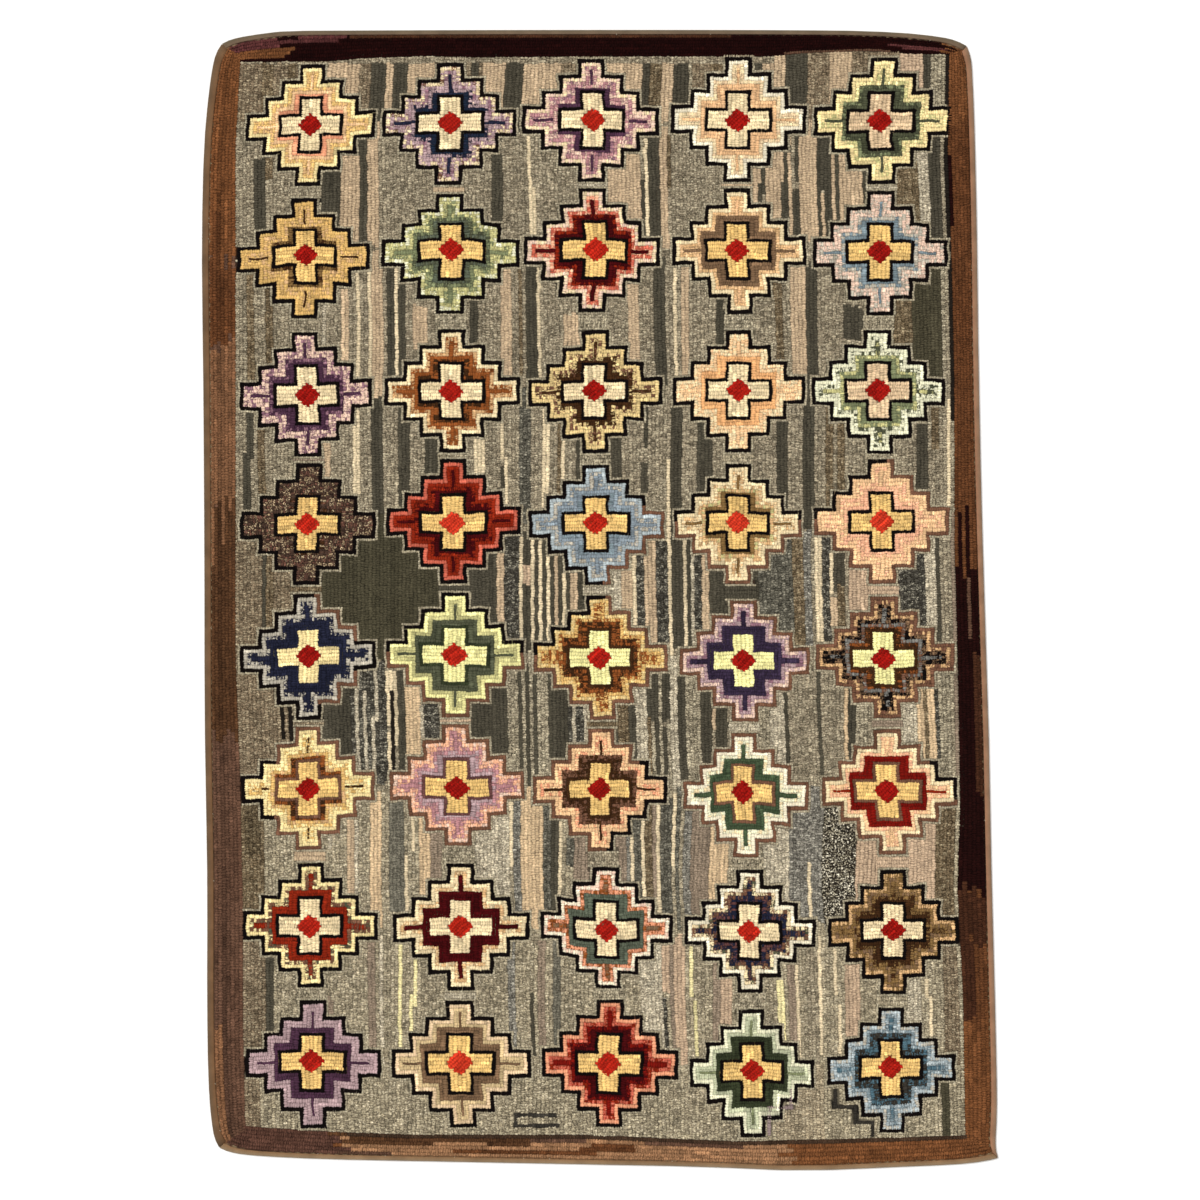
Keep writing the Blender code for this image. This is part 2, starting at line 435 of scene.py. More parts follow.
@dataclass
class Loops:
    """Many loops of wool, one array for each fact about them.

    Attributes:
        centre: Where each loop stands.
        along: The direction of its row, of length one.
        half: Half its length along the row, and half its width across it.
        colour: Its linear colour.
        speck: The linear colour of the specks in it.
        fleck: How much its lightness varies within it.
        fall: How much lower its right-hand side ends, beside the tape.
    """

    centre: Points
    along: Points
    half: Points
    colour: Points
    speck: Points
    fleck: Points
    fall: Points

    NAMES = ("centre", "along", "half", "colour", "speck", "fleck", "fall")

    @classmethod
    def undyed(cls, centre: Points, along: Points, half: Points, fall: float = 0.0) -> "Loops":
        """Loops that have no colour yet."""
        none = np.zeros((len(centre), 3))
        return cls(centre, along, half, none, none.copy(), none[:, 0].copy(), none[:, 0] + fall)

    @classmethod
    def joined(cls, parts: list["Loops"]) -> "Loops":
        """All loops of several groups as one group."""
        return cls(*[np.concatenate([getattr(part, name) for part in parts]) for name in cls.NAMES])

    def where(self, mask: Points) -> "Loops":
        """The loops that a mask picks."""
        return Loops(*[getattr(self, name)[mask] for name in self.NAMES])

    def dye(self, mask: Points, yarn: Yarn, rng: np.random.Generator) -> None:
        """Gives the loops that a mask picks the shades of a yarn."""
        self.colour[mask], self.speck[mask] = yarn.dyed(int(mask.sum()), rng)
        self.fleck[mask] = yarn.fleck

    def shade(self, spread: float, rng: np.random.Generator) -> None:
        """Makes all of them lighter or darker by the same chance amount."""
        by = math.exp(rng.normal(0.0, spread))
        self.colour *= by
        self.speck *= by

    def moved(self, place: Callable[[Points], Points]) -> "Loops":
        """The loops carried along by a mapping of points.

        Args:
            place: Takes an array of points and returns where they go.

        Returns:
            The loops, turned and stretched as their ends move.
        """
        reach = self.along * self.half[:, :1]
        beside = np.column_stack([self.along[:, 1], -self.along[:, 0]]) * self.half[:, 1:]
        start, end = place(self.centre - reach), place(self.centre + reach)
        gap = end - start
        length = np.linalg.norm(gap, axis=1)
        sides = place(self.centre + beside) - place(self.centre - beside)
        half = np.column_stack([length, np.linalg.norm(sides, axis=1)]) / 2
        return replace(self, centre=(start + end) / 2, along=gap / length[:, None], half=half)


@dataclass
class Hooker:
    """Hooks straight runs of loops.

    Attributes:
        rng: The source of chance.
        pitch: How far apart the loops of a row stand.
        width: How wide a row is.
        uneven: How much the lengths of loops differ.
    """

    rng: np.random.Generator
    pitch: float = PITCH
    width: float = ROW
    uneven: float = 0.16

    def run(self, start: tuple, end: tuple, yarn: Yarn, width: float | None = None) -> Loops:
        """A straight row that fills exactly from start to end.

        Args:
            start: Where the row begins.
            end: Where it ends.
            yarn: What it is hooked with.
            width: How wide it is, where that isn't a row's usual width.

        Returns:
            Its loops.
        """
        start, end = np.array(start, float), np.array(end, float)
        length = float(np.linalg.norm(end - start))
        shares, lengths = self.shares(length)
        count = len(shares)
        half = np.column_stack([lengths * length, np.full(count, width or self.width)]) / 2
        along = np.tile((end - start) / length, (count, 1))
        loops = Loops.undyed(start + shares[:, None] * (end - start), along, half)
        loops.dye(np.ones(count, bool), yarn, self.rng)
        return loops

    def shares(self, length: float) -> tuple[Points, Points]:
        """Where the loops of a row of a given length stand, and how long each one is.

        Args:
            length: The row's length.

        Returns:
            The loops' middles and their lengths, both as shares of the row's length.
        """
        count = max(1, round(length / self.pitch))
        lengths = np.exp(self.rng.normal(0.0, self.uneven, count))
        lengths /= lengths.sum()
        return np.cumsum(lengths) - lengths / 2, lengths

    def path(self, corners: list[tuple], yarn: Yarn, closed: bool = True) -> list[Loops]:
        """Rows along a path of right angles, in which each run takes its first corner.

        Args:
            corners: The path's corners on the middle line of the row.
            yarn: What it is hooked with.
            closed: True where the path comes back to its first corner.

        Returns:
            The loops of each run.
        """
        turns = [np.array(corner, float) for corner in corners]
        following = turns[1:] + (turns[:1] if closed else [])
        parts = []
        for i, (start, end) in enumerate(zip(turns, following)):
            ahead = (end - start) / np.linalg.norm(end - start) * self.width / 2
            first = start if i == 0 and not closed else start - ahead
            last = end if i == len(following) - 1 and not closed else end - ahead
            parts.append(self.run(first, last, yarn))
        return parts


@dataclass(frozen=True)
class StepOutline:
    """A stepped cross-like outline, the same in its four quarters.

    Attributes:
        steps: (half width, half height) of each step, from the tip at the top to the side arm.
    """

    steps: tuple

    def quarter(self, inset: float) -> list[tuple]:
        """Corners of the top right quarter, from the tip down to the arm, moved in by an inset."""
        corners = []
        for i, (wide, high) in enumerate(self.steps):
            corners.append((wide - inset, high - inset))
            if i + 1 < len(self.steps):
                corners.append((wide - inset, self.steps[i + 1][1] - inset))
        return corners

    def ring(self, inset: float) -> list[tuple]:
        """All corners of the closed outline, clockwise, moved in by an inset."""
        right_top = self.quarter(inset)
        right_bottom = [(x, -y) for x, y in reversed(right_top)]
        left_bottom = [(-x, -y) for x, y in right_top]
        left_top = [(-x, y) for x, y in reversed(right_top)]
        return right_top + right_bottom + left_bottom + left_top

    def half_width(self, height: Points, margin: float) -> Points:
        """Half the outline's width at heights above or below its middle.

        Args:
            height: Distances from the middle, up or down.
            margin: How far outside the middle line of its row the outline is taken.

        Returns:
            Half widths, and less than zero beyond the tips.
        """
        result = np.full(np.shape(height), -1.0)
        for wide, high in self.steps:
            result = np.where(np.abs(height) < high + margin, wide + margin, result)
        return result


class Part(Enum):
    """The part of a medallion's outline that is hooked in a second wool."""

    NONE = "none"
    UPPER = "upper half"
    UPPER_LEFT = "upper left quarter"
    LEFT_ARM = "left arm"
    RIGHT_ARM = "right arm"
    RIGHT_STEPS = "steps on the right"
    RIGHT_AND_BELOW = "right arm and the steps below it"
    LOWER_RIGHT = "lower right quarter"

    def covers(self, u: Points, v: Points) -> Points:
        """Which places it covers, as shares of the half width to the right and up."""
        tests = {
            Part.NONE: u > 9,
            Part.UPPER: v > 0.05,
            Part.UPPER_LEFT: (v > 0.05) & (u < 0.12),
            Part.LEFT_ARM: u < -0.5,
            Part.RIGHT_ARM: (u > 0.62) & (v > -0.12),
            Part.RIGHT_STEPS: (u > 0.12) & (u < 0.75) & (np.abs(v) > 0.25) & (v > -0.8),
            Part.RIGHT_AND_BELOW: (u > 0.62) | ((u > 0.08) & (v < 0.1)),
            Part.LOWER_RIGHT: (u > 0.08) & (v < 0.3),
        }
        return tests[self]


@dataclass(frozen=True)
class Plan:
    """What one medallion of the chart looks like.

    Attributes:
        middle: Pixel column and line of its middle in the photograph.
        reach: Pixels from there to its right and its upper tip.
        shape: How many degrees its uprights and its levels slope, and how many pixels to the
            right and down the middle of its cross is off its own.
        wools: Its wools from outside in: outline, three rings, the angles beside the cross, the
            cross's edge, the cross, its centre, and the short rows in the tips. Those in the
            upper and the lower tip may have a wool of their own, after a stroke.
        tip: How wide the short rows in the tips are, in pixels.
        part: Where the outline has a second wool.
        second: That wool.
    """

    middle: tuple[float, float]
    reach: tuple[float, float]
    shape: tuple[float, float, float, float]
    wools: str
    tip: float = 2.8
    part: Part = Part.NONE
    second: str = "black"


# The medallions, line by line from the top and each line from the left.
PLANS = (
    Plan((311, 127), (64.5, 60.5), (2.9, 1.7, 0, -1.5),
         "black butter gold+tan peach salmon black cream crimson peach", 3),
    Plan((451, 124), (67.5, 60.5), (1.3, 0.3, 0, -1),
         "black cream+lilac+brown lilac+mauve+cream lilac+navy deep_blue+navy black cream red"
         " navy", 3.5),
    Plan((593, 121), (68, 61.5), (0, -0.8, 1, -1),
         "black pale_pink+cream rose+pale_pink+mauve rose+pale_pink+mauve purple black"
         " cream bright_red purple"),
    Plan((737.5, 120.5), (67.5, 62.5), (0.8, 0, 0, 0),
         "black white_cream cream+beige dull_peach dull_peach black cream crimson dull_peach"),
    Plan((882, 120.5), (68.5, 63), (1.6, 0.7, -2.5, 1),
         "black butter butter+khaki moss+sage moss black beige crimson moss+olive"),
    Plan((305.5, 258.5), (66, 59.5), (0, 1.3, 0.5, -3),
         "black golden golden+tan golden+tan olive_brown+dark_brown black gold crimson"
         " dark_brown", 2.2),
    Plan((450, 254.5), (69, 60), (0, 0, 1.5, -4),
         "black khaki+mint khaki+sage sage+olive slate_green+olive black gold red sage", 5),
    Plan((592.5, 252), (68, 62), (0.5, -0.5, 3.5, -2),
         "black pale_pink+cream coral+pink brick+maroon maroon black gold bright_red maroon", 4),
    Plan((738, 252), (66.5, 62.5), (-1.3, 0.3, -1.5, -1),
         "black cream tan+peach taupe taupe black gold red taupe|dull_peach", 3),
    Plan((879.5, 252.5), (67.5, 62), (0, 0, 0, -1),
         "black pale_pink+silver pale_pink+silver silver+steel steel black gold crimson"
         " steel"),
    Plan((307, 395), (66, 62.5), (-1.1, 2.0, 0.5, 0.5),
         "black pale_pink+mauve pale_pink+mauve purple+mauve purple black cream crimson"
         " purple", 3.2),
    Plan((452.5, 393), (67.5, 61.5), (0, 0.3, -1.5, -1),
         "black cream tan+rust rust dark_brown+rust black cream red rust", 4.5),
    Plan((595, 392.5), (67, 61), (0, 1.3, -1, -1),
         "black straw straw+brown dark_brown+straw+brown dark_brown black cream crimson"
         " dark_brown+brown", 3.2),
    Plan((737, 390.5), (66, 61), (0.5, 0.8, 0.5, 0),
         "black cream+peach peach+cream apricot apricot black cream red peach", 4),
    Plan((878, 391.5), (67, 62), (-1.3, -0.6, 0, -1),
         "black mint mint+olive khaki+sage sage black beige crimson khaki+olive", 4),
    Plan((308, 525.5), (67.5, 60.5), (1.6, 0, -0.5, -1.5),
         "black tweed tweed tweed tweed+dark_brown black gold bright_red tweed", 6),
    Plan((453, 522), (67.5, 62), (0, 0.5, 0, 1),
         "black coral brick brick+maroon maroon black gold orange_red maroon"),
    Plan((596.5, 524), (67.5, 60), (-1, 0.3, -0.5, -1.5),
         "black pale_blue silver+blue blue blue+steel black gold bright_red blue",
         4, Part.LOWER_RIGHT, "brown"),
    Plan((738, 523.5), (63.5, 60), (0, 0, 0, -1),
         "brown cream cream+tan tan+khaki olive_brown black gold orange_red olive_brown",
         3, Part.UPPER),
    Plan((881, 522.5), (67.5, 62), (-0.5, 0, 0.5, 0),
         "brown peach peach+pink pink+peach pink black gold orange_red peach",
         4, Part.UPPER_LEFT),
    Plan((308, 657.5), (67.5, 62.5), (-0.9, 2.0, 1, -1),
         "black silver navy+silver navy navy navy butter crimson navy",
         5.5, Part.RIGHT_STEPS, "brown"),
    Plan((456, 655), (69, 62.5), (-0.8, 0, -1, 0),
         "brown pale_yellow khaki olive olive dark_green pale_yellow bright_red olive",
         2.4, Part.UPPER),
    Plan((600, 657.5), (66.5, 62), (-1.8, 0, -1, 0),
         "brown straw+golden golden+rust rust+dark_brown rust+dark_brown dark_brown"
         " pale_yellow red rust+golden", 5.5, Part.UPPER_LEFT),
    Plan((744, 661), (65.5, 60.5), (-0.4, 0, -0.5, -0.5),
         "brown pale_pink+lilac lilac+mauve aubergine aubergine aubergine pale_yellow"
         " crimson aubergine", 5.5),
    Plan((885.5, 658), (69, 60.5), (-1.1, 0, -2, 1),
         "brown tan+brown black+taupe grey+brown dark_brown+rust dark_brown pale_yellow"
         " crimson grey+black", 4),
    Plan((308.5, 787.5), (66, 61.5), (-0.5, 2.0, 0, 0.5),
         "brown butter butter+golden golden+tan rust+dark_brown brown gold crimson"
         " dark_brown+golden", 2.2, Part.LEFT_ARM),
    Plan((457, 785.5), (67.5, 61), (-1.4, 0.8, 0, 2),
         "brown pink+pale_pink rose+pink rose+lilac lilac plum gold crimson rose", 4),
    Plan((600.5, 789.5), (66.5, 61), (0.4, 0, -1, -1),
         "brown peach peach+salmon brown+dark_brown dark_brown+brown dark_brown gold"
         " crimson dark_brown", 2.6, Part.RIGHT_AND_BELOW),
    Plan((743.5, 795), (62.5, 62), (-1, -0.4, -1, -3),
         "brown white_cream mint+cream green green brown gold crimson green", 5),
    Plan((889, 792), (68, 62.5), (-2.4, 0.3, -2, -1),
         "brown cream peach+pink dark_red dark_red brown gold crimson brick|peach",
         2.8, Part.RIGHT_ARM),
    Plan((312, 926), (67, 62), (0, 0, -1.5, -0.5),
         "black butter brown+butter+olive brick brick black cream bright_red brick+brown", 6),
    Plan((460, 925.5), (68, 63), (0, 0.7, 0.5, 0),
         "black cream tan+cream maroon maroon maroon cream bright_red maroon", 5),
    Plan((605.5, 927), (66, 60.5), (-1.0, -1.9, 0.5, 3),
         "black white_cream+pale_pink salmon+rust slate_green slate_green black"
         " cream red taupe+rust", 4.7),
    Plan((749, 931.5), (65.5, 61.5), (0, -1, 0, -0.5),
         "black white_cream cream+brown+olive navy+brown navy+plum black cream"
         " bright_red navy+brown", 6),
    Plan((892.5, 931), (65.5, 62), (-0.5, 1.3, 0.5, -1.5),
         "black tan+olive_brown olive_brown+taupe dark_brown+olive_brown dark_brown"
         " black cream crimson olive_brown+dark_brown", 6),
    Plan((313, 1063), (67.5, 63.5), (0, 0, -1, -2.5),
         "black lilac lilac purple purple black gold red purple", 2.6),
    Plan((461, 1062), (69.5, 63.5), (-1.5, 0, -1, 0),
         "black beige sand taupe taupe black gold orange_red taupe", 2.4),
    Plan((608, 1064), (68, 64), (0.3, -1, 0, -1),
         "black salmon coral+brick dark_red+maroon maroon black gold bright_red dark_red", 6),
    Plan((751.5, 1071.5), (62.5, 63.5), (-0.6, 0, 1, -2),
         "black mint pale_sage dark_green dark_green black gold red sage"),
    Plan((891.5, 1067.5), (64, 62.5), (-0.5, 1.5, -1.5, -1),
         "black pale_blue+silver steel+pale_blue charcoal+petrol charcoal+petrol black"
         " gold red petrol+steel", 4.5),
)
COLUMNS = 5


@dataclass
class Medallion:
    """One stepped medallion with a cross in it.

    Attributes:
        plan: Its place and its wools.
        drift: How the hand-drawn lines wander.
        outline: Its outer row, as a stepped outline about the middle.
        body: Its third ring, which leaves the tips out.
        cross: The outline of the cross.
        edge_width: How wide the row along that outline is.
        arm_width: Distance between the rows of the upright and of the level arms.
        diamond: Half the width and half the height of the centre.
        diamond_rows: How many rows fill the centre.
        fullness: How far its sides bulge out.
        diamond_stray: How far its rows may reach out, as a share of their length.
        fading: How the shift of the cross fades outwards: its start, and its loss on the way.
    """

    plan: Plan
    drift: Drift
    outline: StepOutline = StepOutline(
        tuple((x * PIXEL, y * PIXEL) for x, y in ((11.6, 61.5), (31.0, 45.5), (47.5, 28.7), (66.0, 12.2)))
    )
    body: StepOutline = StepOutline(((19.9 * PIXEL, 34.4 * PIXEL), (36.4 * PIXEL, 17.6 * PIXEL)))
    cross: StepOutline = StepOutline(((11.5 * PIXEL, 28.9 * PIXEL), (32.5 * PIXEL, 10.6 * PIXEL)))
    edge_width: float = 3.2 * PIXEL
    arm_width: tuple = (4.02 * PIXEL, 3.66 * PIXEL)
    diamond: tuple = (13.1 * PIXEL, 12.4 * PIXEL)
    diamond_rows: int = 6
    fullness: float = 1.07
    diamond_stray: float = 0.16
    fading: tuple = (1.6, 1.2)

    @property
    def centre(self) -> Points:
        """The middle of the medallion."""
        column, line = self.plan.middle
        return np.array([across(column), upward(line)])

    @property
    def scale(self) -> Points:
        """How much wider and longer it is than the outline that all are drawn from."""
        own = np.array(self.plan.reach) * PIXEL
        drawn = np.array([self.outline.steps[-1][0], self.outline.steps[0][1]]) + ROW / 2
        return own / drawn

    def place(self, points: Points) -> Points:
        """Where points about its middle lie on the rug."""
        upright, level, right, down = self.plan.shape
        reach = np.array([self.body.steps[-1][0], self.body.steps[0][1]])
        outness = (np.abs(points) / reach).max(axis=1, keepdims=True)
        start, loss = self.fading
        pull = np.clip(start - loss * outness, 0.0, 1.0)
        drawn = points * self.scale + pull * np.array([right, -down]) * PIXEL
        slopes = np.tan(np.radians([upright, level]))
        leant = drawn + drawn[:, ::-1] * slopes
        wander = self.drift.at(leant + self.centre) - self.drift.at(self.centre[None])
        return leant + self.centre + wander

    def unplace(self, points: Points, wander: Points) -> Points:
        """Points of the rug as seen from its middle, with its own shape taken out.

        Args:
            points: Places on the rug.
            wander: The drift at those places.

        Returns:
            The places about the middle.
        """
        local = points - self.centre - wander + self.drift.at(self.centre[None])
        slopes = np.tan(np.radians(self.plan.shape[:2]))
        return (local - local[:, ::-1] * slopes) / self.scale

    def hook(self, hooker: Hooker) -> Loops:
        """Hooks the whole medallion.

        Args:
            hooker: Lays the runs.

        Returns:
            Its loops, in place on the rug.
        """
        *names, tips = self.plan.wools.split()
        edge, first, second, third, angle, cross_edge, cross, centre = map(wool_called, names)
        steps = self.outline.steps
        rim = Loops.joined(hooker.path(self.outline.ring(0.0), edge))
        other = self.plan.part.covers(rim.centre[:, 0] / steps[-1][0], rim.centre[:, 1] / steps[0][1])
        rim.dye(other, wool_called(self.plan.second), hooker.rng)
        parts = [rim]
        parts += hooker.path(self.outline.ring(ROW), first)
        parts += hooker.path(self.outline.ring(2 * ROW), second)
        parts += hooker.path(self.body.ring(0.0), third)
        parts += self.tip_rows(hooker, tips, second)
        parts += self.angles(hooker, angle)
        parts += replace(hooker, width=self.edge_width).path(self.cross.ring(0.0), cross_edge)
        parts += self.cross_arms(hooker, cross)
        parts += self.centre_rows(hooker, centre)
        return Loops.joined(parts).moved(self.place)

    def tip_rows(self, hooker: Hooker, names: str, beside: Yarn) -> list[Loops]:
        """The short rows from the body out into the four tips.

        Args:
            hooker: Lays the runs.
            names: Their wool, or that of the level and that of the upright ones.
            beside: The wool of the slivers that are left beside them.

        Returns:
            Their loops.
        """
        level, _, upright = names.partition("|")
        steps, body = self.outline.steps, self.body.steps
        parts = []
        for name, is_level, room, near, far in (
            (upright or level, False, steps[0][0], body[0][1], steps[0][1]),
            (level, True, steps[-1][1], body[-1][0], steps[-1][0]),
        ):
            free = room - 2.5 * ROW
            half = min(self.plan.tip * PIXEL / 2, free)
            lanes = [(0.0, 2 * half, wool_called(name))]
            if free - half > 0.1 * ROW:
                lanes += [(side * (free + half) / 2, free - half, beside) for side in (1, -1)]
            for sign in (1, -1):
                for place, width, yarn in lanes:
                    ends = [(place, sign * (near + ROW / 2)), (place, sign * (far - 2.5 * ROW))]
                    if is_level:
                        ends = [end[::-1] for end in ends]
                    parts.append(hooker.run(*ends, yarn, width))
        return parts

    def angles(self, hooker: Hooker, yarn: Yarn) -> list[Loops]:
        """The rows between the body's ring and the cross's edge."""
        (in_x, in_top), (in_end, in_y) = (
            (x + self.edge_width / 2, y + self.edge_width / 2) for x, y in self.cross.steps
        )
        (out_x, out_top), (out_end, out_y) = ((x - ROW / 2, y - ROW / 2) for x, y in self.body.steps)
        x, y, top = (in_x + out_x) / 2, (in_y + out_y) / 2, (in_top + out_top) / 2
        parts = []
        for sy in (1, -1):
            parts.append(
                hooker.run((-in_x, sy * top), (in_x, sy * top), yarn, out_top - in_top)
            )
            for sx in (1, -1):
                upright = (sx * x, sy * out_top), (sx * x, sy * out_y)
                level = (sx * in_x, sy * y), (sx * out_end, sy * y)
                parts.append(hooker.run(*upright, yarn, out_x - in_x))
                parts.append(hooker.run(*level, yarn, out_y - in_y))
        return parts

    def cross_arms(self, hooker: Hooker, yarn: Yarn) -> list[Loops]:
        """The rows that fill the cross as far as its centre."""
        wide, high = self.diamond
        step_x, step_y = self.arm_width
        top = self.cross.steps[0][1] - self.edge_width / 2
        end = self.cross.steps[-1][0] - self.edge_width / 2
        parts = []
        for i in (-2, -1, 0, 1, 2):
            x, y = i * step_x, i * step_y
            low = high * min(1.0, self.fullness - abs(x) / wide)
            near = max(wide * min(1.0, self.fullness - abs(y) / high), 2.5 * step_x)
            for sign in (1, -1):
                parts.append(hooker.run((x, sign * low), (x, sign * top), yarn, step_x))
                parts.append(hooker.run((sign * near, y), (sign * end, y), yarn, step_y))
        return parts

    def centre_rows(self, hooker: Hooker, yarn: Yarn) -> list[Loops]:
        """The slanting rows that fill the full diamond in the middle of the cross."""
        wide, high = np.array(self.diamond) * self.fullness
        width = 2 * wide * high / math.hypot(wide, high) / self.diamond_rows
        parts = []
        for i in range(self.diamond_rows):
            level = (2 * i + 1) / self.diamond_rows - 1
            middle = level * np.array([wide, -high]) / 2
            reach = np.array([wide, high]) / 2 * (1 - 0.4 * level**4)
            less, more = 1 + hooker.rng.uniform(-0.04, self.diamond_stray, 2)
            parts.append(hooker.run(middle - less * reach, middle + more * reach, yarn, width))
        return parts

    def halo(self, hooker: Hooker) -> Loops:
        """The row of ground wool that follows the outline outside, apart from the two tips."""
        corners = self.outline.quarter(-(ROW + HALO_WIDTH) / 2)
        tip_top = self.outline.steps[0][1] + ROW / 2
        arm_end = (corners[-1][0], 0.0)
        line = [(corners[0][0], tip_top)] + corners[1:] + [arm_end]
        narrow = replace(hooker, width=HALO_WIDTH)
        parts = []
        for sx in (1, -1):
            for sy in (1, -1):
                mirrored = [(sx * x, sy * y) for x, y in line]
                parts += narrow.path(mirrored, HALO_WOOL, closed=False)
        return Loops.joined(parts).moved(self.place)


# The stripes of the ground, for each gap between two rows of medallions, from the top. A stripe
# is the letter of its wool and its first and last row, counted from the left. ^ keeps it to the
# upper half of the gap and v to the lower half, and @ gives its ends as pixel lines.
STRIPES = (
    "w0-189 t6-8 t13-14 b24-31 s35-38 b39-40 s41-44 b45-52 s62-63 b65-70 s71-75 b76-85 b98-107"
    " s108-109 t110-112 b113-115 s116-119 g120 t126-130 s137-139 b140-145 s146-151 b158-163"
    " n175-182 s183-184 g185-188 k189 h0-142@40:64",
    "s5-7@158:238 t8-9^ s23-27 b28-32 s33-34 b35-37 s68-70 c78 c79v b98-107 s108v c109 s110-112"
    " b113-114 t115^ b136-139 s140^ s139v b141-145 s146^ s145-146v b147 s149-150^ s148-149v"
    " b150-154 s155-158^ s155v b156v s157-158v b159 s160 b161-166 s167 t175-181 l182-184 s185-187"
    " h188 k189",
    "t3-4 t8-9 l23 b28-29 c32 c35 b36-38 s40-41 c42 s43-44 b47-50@300:345 s62-63 b70-72 t75"
    " s77-79 c80 b87-90@312:343 b104-106 s111-113 c116 b118-119 s127-128 t143-144 b147-150"
    " s151-153 s161-165@303:343 t174-178 o179-186 g187 k189",
    "s3-4^ s2-3v t6-7 b22-24 c31-32 s36-38 s43-45 s50-54@438:482 c63-65 c70^ s70v c71v x75-77"
    " c81-82 t85 c86 s90-91 s99-101 s108^ s107-108v c114v s115-117 s122-125 s143-145 s150-152"
    " t156-157 t159-160 s180-182 t184-185^ c188 k189@390:420",
    "w0-21 s7 t8-9 o22-53 s61-68 b69-70 d71-74 c75 s76-77 n76-77@565:580 c78 s79 c80 s81 c82 s83"
    " b84 s85 c86 s87 b88-89 s90-92 l99-101 b102-104 c105 d106-107 b108-110 d111-113 c114 s115-117"
    " c118 s119 l120 d121-122 b123-124 s125-137 x138-146 t147-149 j150-151 g152^ c153-154 d155-156"
    " c157^ b157-158v s158-160^ t159-160v n162-167 d175-181 l182-184 s185 h186-188 m189",
    "w0-13 k11@700:740 k13@700:740 s22-29 d30-38 l31 l33@690:790 l36^ l35v c39^ c40@665:700"
    " k40@683:790 c41@665:750 c39v s42-43 p44-47 d48-53 l48 l53 s61-70 g71-73 s74 g75 s76 g77 s78"
    " g79-81 s82-86 d87-90 l88 l91 s99 t100-102 s103-104 l105-107 s108-109^ t108v g109v s110 g111"
    " s112-113^ s112v g113v l114-115 s116-117 g118-121 s122-124 b125^ s126-128 g137-139 l140-143"
    " s144 h145-152 s153 h154-159 p160 s161-162 g163-165 l175-178 p179-180 t181 p182-183 d184"
    " g185-187 m189",
    "e0-189 t0-5 u1-4^ l23^ b28-29 l30 p34-36 v39-42 c45^ c43v p47-49 m50-52 l62-70 c71^ j72-73"
    " p74-79 x80-81 s82-83 c84 x86-87^ m88-91 m98-101 j102 c103 x104-105 c106 t107-108 m109 c110"
    " x111-113 c114^ x115 j117-118 m119-123 p124-128 l138-144 j145-153 c150v z154-162 n163-168"
    " n175-183 t184-188",
    "e0-189 w0-5 s6-7 m22-23v m33-34 l36 y41 y45^ y44v j70-71 s76v m78-79 v82-83 l105-110"
    " d111v m113 n111-112^ n114-116 y118^ y119v m124-125 n126-128 y141-142 m144-145 c146 h149-151"
    " c152 c156^ c157v n159-162 l175-178 c180^ c181v w185-188",
    "e0-189 w0-3 a140-152 o184-185",
)

# The wool between the tips of the medallions, for each gap from the top and each column.
TIP_GAPS = ("whwww", "hblbl", "hgggg", "megee", "tslsn", "wntlm", "bghgn", "glgge", "eeeee")

# Where a single row is laid into the ground: its wool, and its corners in pixels.
INLAID_ROWS = (
    ("charcoal", ((557, 1114.5), (516, 1114.5), (516, 1125), (559, 1125))),
    (
        "charcoal",
        ((835, 1088), (835, 1106), (855, 1106), (855, 1122), (872, 1122), (872, 1136)),
    ),
    ("mauve_grey", ((791, 1088), (791, 1107), (769, 1107), (769, 1135))),
)


